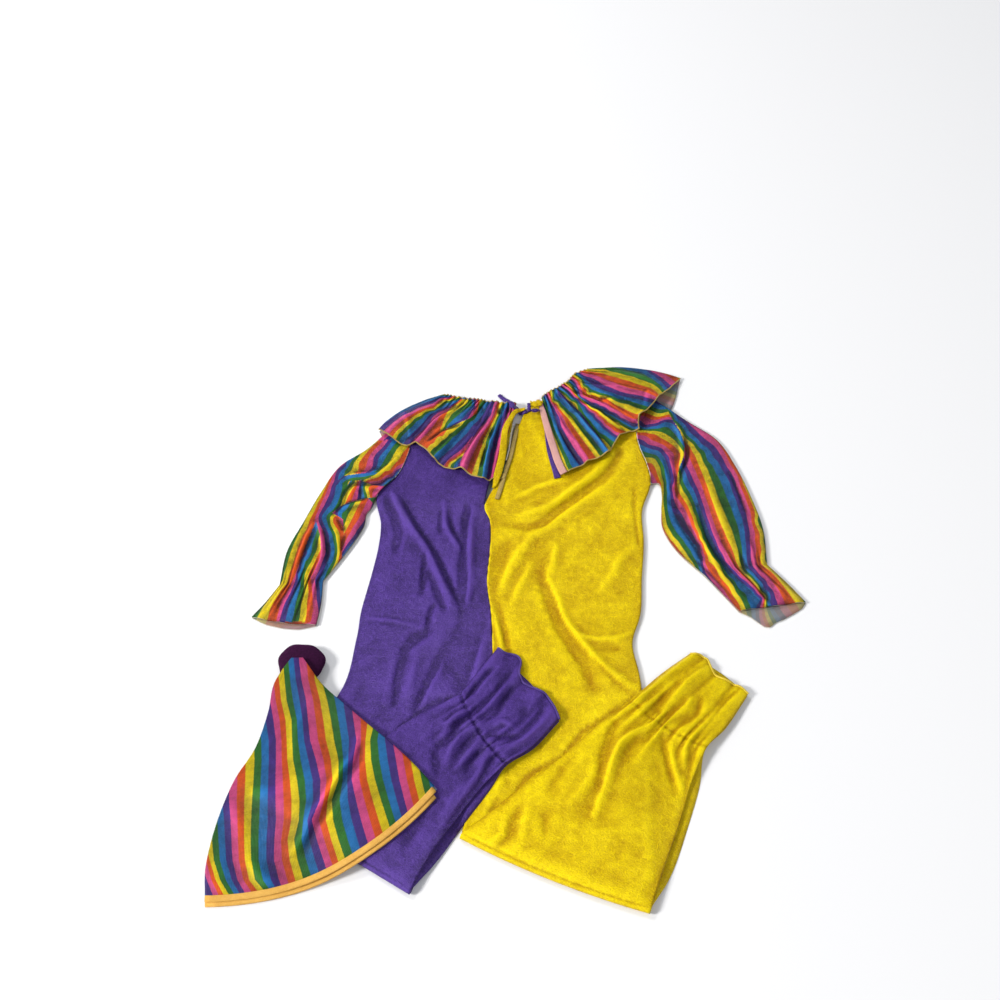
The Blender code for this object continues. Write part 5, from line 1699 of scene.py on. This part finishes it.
def tapeAlong(name, line, look, width, thick, count, node):
    # a folded strip: a flat oval carried along a smooth line that rests on the heap; width is
    # a number, or a list of widths spread evenly along the line
    path = curveThrough(line, count)
    way = np.gradient(path, axis=0)
    side = np.stack([-way[:, 1], way[:, 0]], axis=1)
    side /= np.linalg.norm(side, axis=1, keepdims=True)
    s = np.linspace(-0.5, 0.5, 5)
    widths = np.atleast_1d(width)
    wide = np.interp(np.linspace(0, 1, count), np.linspace(0, 1, len(widths)), widths)[:, None]
    plan = path[:, None] + side[:, None] * (s * wide)[..., None]
    z = restOn(plan, (4, 3, 2, 2, 1)) + thick
    middle = withHeight(path, z[:, 2])
    tilt = np.clip((z[:, 4] - z[:, 0]) / wide[:, 0], -0.35, 0.35)
    lean, rise = ovalSection(16, 0.5, 0.8)
    across = np.concatenate([side, tilt[:, None]], axis=1)
    shape = (middle[:, None] + across[:, None] * (wide / 2 * lean)[..., None]
             + up * (thick * rise)[None, :, None])
    shape[..., 2] = np.maximum(shape[..., 2], 0.02)
    layDown(shape)
    piece = closedBand(name, np.concatenate([shape, shape[:, :1]], axis=1), look)
    settleIn(piece, node)


def headingLine(side):
    # the neck ends of every second rib, moved 1 mm towards the hem
    table = np.array(collars[side], float)
    run = table[:, 2:4] - table[:, 0:2]
    return (table[:, 0:2] + run / np.linalg.norm(run, axis=1, keepdims=True))[::2]


tapeAlong("neckTape_left", headingLine("left"), "purple", 6.8, 1.0, 60, "neck_tape_left")
tapeAlong("neckTape_right", headingLine("right"), "yellow", 6.8, 1.0, 60, "neck_tape_right")

settleIn(collarBack("left"), "ruffle_left_back")
settleIn(collarBack("right"), "ruffle_right_back")
print("collar laid")


# ties, the pale piece and the slit, each along places of the frame
tiePlaces = {
    "purpleDown": [(541, 406), (543, 412), (545, 420), (547.5, 431), (548.5, 440), (550, 450), (552.5, 460),
        (555.5, 470), (557.5, 478)],
    "pink": [(538, 401), (541, 406), (543, 412), (545.5, 421), (548, 430), (551, 440), (554, 450),
        (557.5, 460), (562, 470), (564, 474)],
    "yellow": [(525, 408.5), (520, 410.5), (515, 413.5), (511, 418), (507.5, 424), (505, 431), (504, 440),
        (502.5, 455), (499, 470), (495.5, 480), (493, 488)],
    "purpleUp": [(527, 411), (522.5, 414), (518, 411), (513, 406), (508.5, 402.5), (504, 399.5), (499, 395)],
    "palePiece": [(513, 424), (511, 435), (509, 450), (506, 460)],
    "slit": [(518, 424), (514, 441), (510, 458), (505, 473), (501, 487), (497, 499)],
}


def restBeside(line):
    # the mean of the resting heights 1 mm to the left and to the right of a line
    return restOn(line[:, None] + np.array([[[-1.0, 0], [1.0, 0]]]), (2, 1)).mean(axis=1)


def overHeap(places):
    # places of the frame carried along their lines of sight to the heap's top, whose height is
    # found in four steps
    height = np.full(len(places), 8.0)
    for _ in range(4):
        height = restBeside(onTable(places, height)) + 1
    return onTable(places, height)


slitPath = curveThrough(overHeap(tiePlaces["slit"]), 60)
serging("overlock_slit", withHeight(slitPath, restBeside(slitPath) + 0.8), "tanThread", 6.4, 0.8, 2.2)
palePath = curveThrough(overHeap(tiePlaces["palePiece"]), 40)
serging("overlock_slitPale", withHeight(palePath, restBeside(palePath) + 0.6), "paleThread", 2.0, 0.5, 1.8)
tapeAlong("tie_purpleDown", overHeap(tiePlaces["purpleDown"]), "purple", [6.0, 7.2, 7.6], 1.0, 60,
          "tie_purple_down")
tapeAlong("tie_palePink", overHeap(tiePlaces["pink"]), "palePink", [4.0, 7.0, 8.4, 8.4, 8.4], 1.0, 60,
          "tie_pink")
tapeAlong("tie_purpleUp", overHeap(tiePlaces["purpleUp"]), "purple", [6.0, 6.4, 6.0, 4.6], 1.0, 40,
          "tie_purple_up")
tapeAlong("tie_yellowFront", overHeap(tiePlaces["yellow"]), "yellow", [4.4, 5.0, 6.2, 7.2, 8.0, 8.4, 2.4],
          1.0, 80, "tie_yellow")

knot = {"place": (535, 410.5), "radiusX": 5.6, "radiusY": 2.2, "radiusZ": 2.2,
        "lump": [(530, 404), (535.5, 404), (541, 402)], "loop": [(529, 404.5), (529, 412)]}


def knotPiece():
    # a small flattened ball with three soft wraps, a lump and a loop beside it
    u = np.linspace(0, 2 * np.pi, 49)
    v = np.linspace(-np.pi / 2, np.pi / 2, 25)
    ring, rise = np.meshgrid(u, v)
    wraps = 1 + 0.07 * np.cos(3 * ring + 2 * rise)
    r = np.cos(rise)
    shape = np.stack([np.cos(ring) * r * knot["radiusX"], np.sin(ring) * r * knot["radiusY"],
                      np.sin(rise) * knot["radiusZ"]], -1) * wraps[..., None]
    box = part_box("tie_knot")
    height = (box[0][2] + box[1][2]) / 2 / mm
    points = shape + np.array([*onTable([knot["place"]], height)[0], height])
    lump = curveThrough(onTable(knot["lump"], height), 30)
    serging("tie_knotLump", withHeight(lump, np.full(30, height)), "yellow", 11.0, 2.2, 5.5)
    loop = curveThrough(onTable(knot["loop"], height), 20)
    serging("tie_knotLoop", withHeight(loop, np.full(20, height + 1.2)), "purple", 5.0, 1.8, 4.0)
    cloth = clothOf(points)[:, :-1].reshape(-1, 2)
    piece = wrappedBall("tie_knotWrap", points, materials["purple"], cloth)
    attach(piece, "root")
    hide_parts("tie_knot")


knotPiece()
print("ties laid")

# floor, a little under the table height so that nothing flickers
floorMaterial = bpy.data.materials.new("paleFloor")
floorMaterial.use_nodes = True
floorShader = floorMaterial.node_tree.nodes["Principled BSDF"]
floorShader.inputs["Base Color"].default_value = (0.86, 0.86, 0.865, 1)
floorShader.inputs["Roughness"].default_value = 0.8
floorMesh = bpy.data.meshes.new("floor")
floorHalf, floorTop = 6, -0.0002
floorCorners = [(x * floorHalf, y * floorHalf, floorTop) for x, y in ((-1, -1), (1, -1), (1, 1), (-1, 1))]
floorMesh.from_pydata(floorCorners, [], [(0, 1, 2, 3)])
floorMesh.materials.append(floorMaterial)
floorPiece = bpy.data.objects.new("floor", floorMesh)
bpy.context.collection.objects.link(floorPiece)
addCamera()
addLamps()
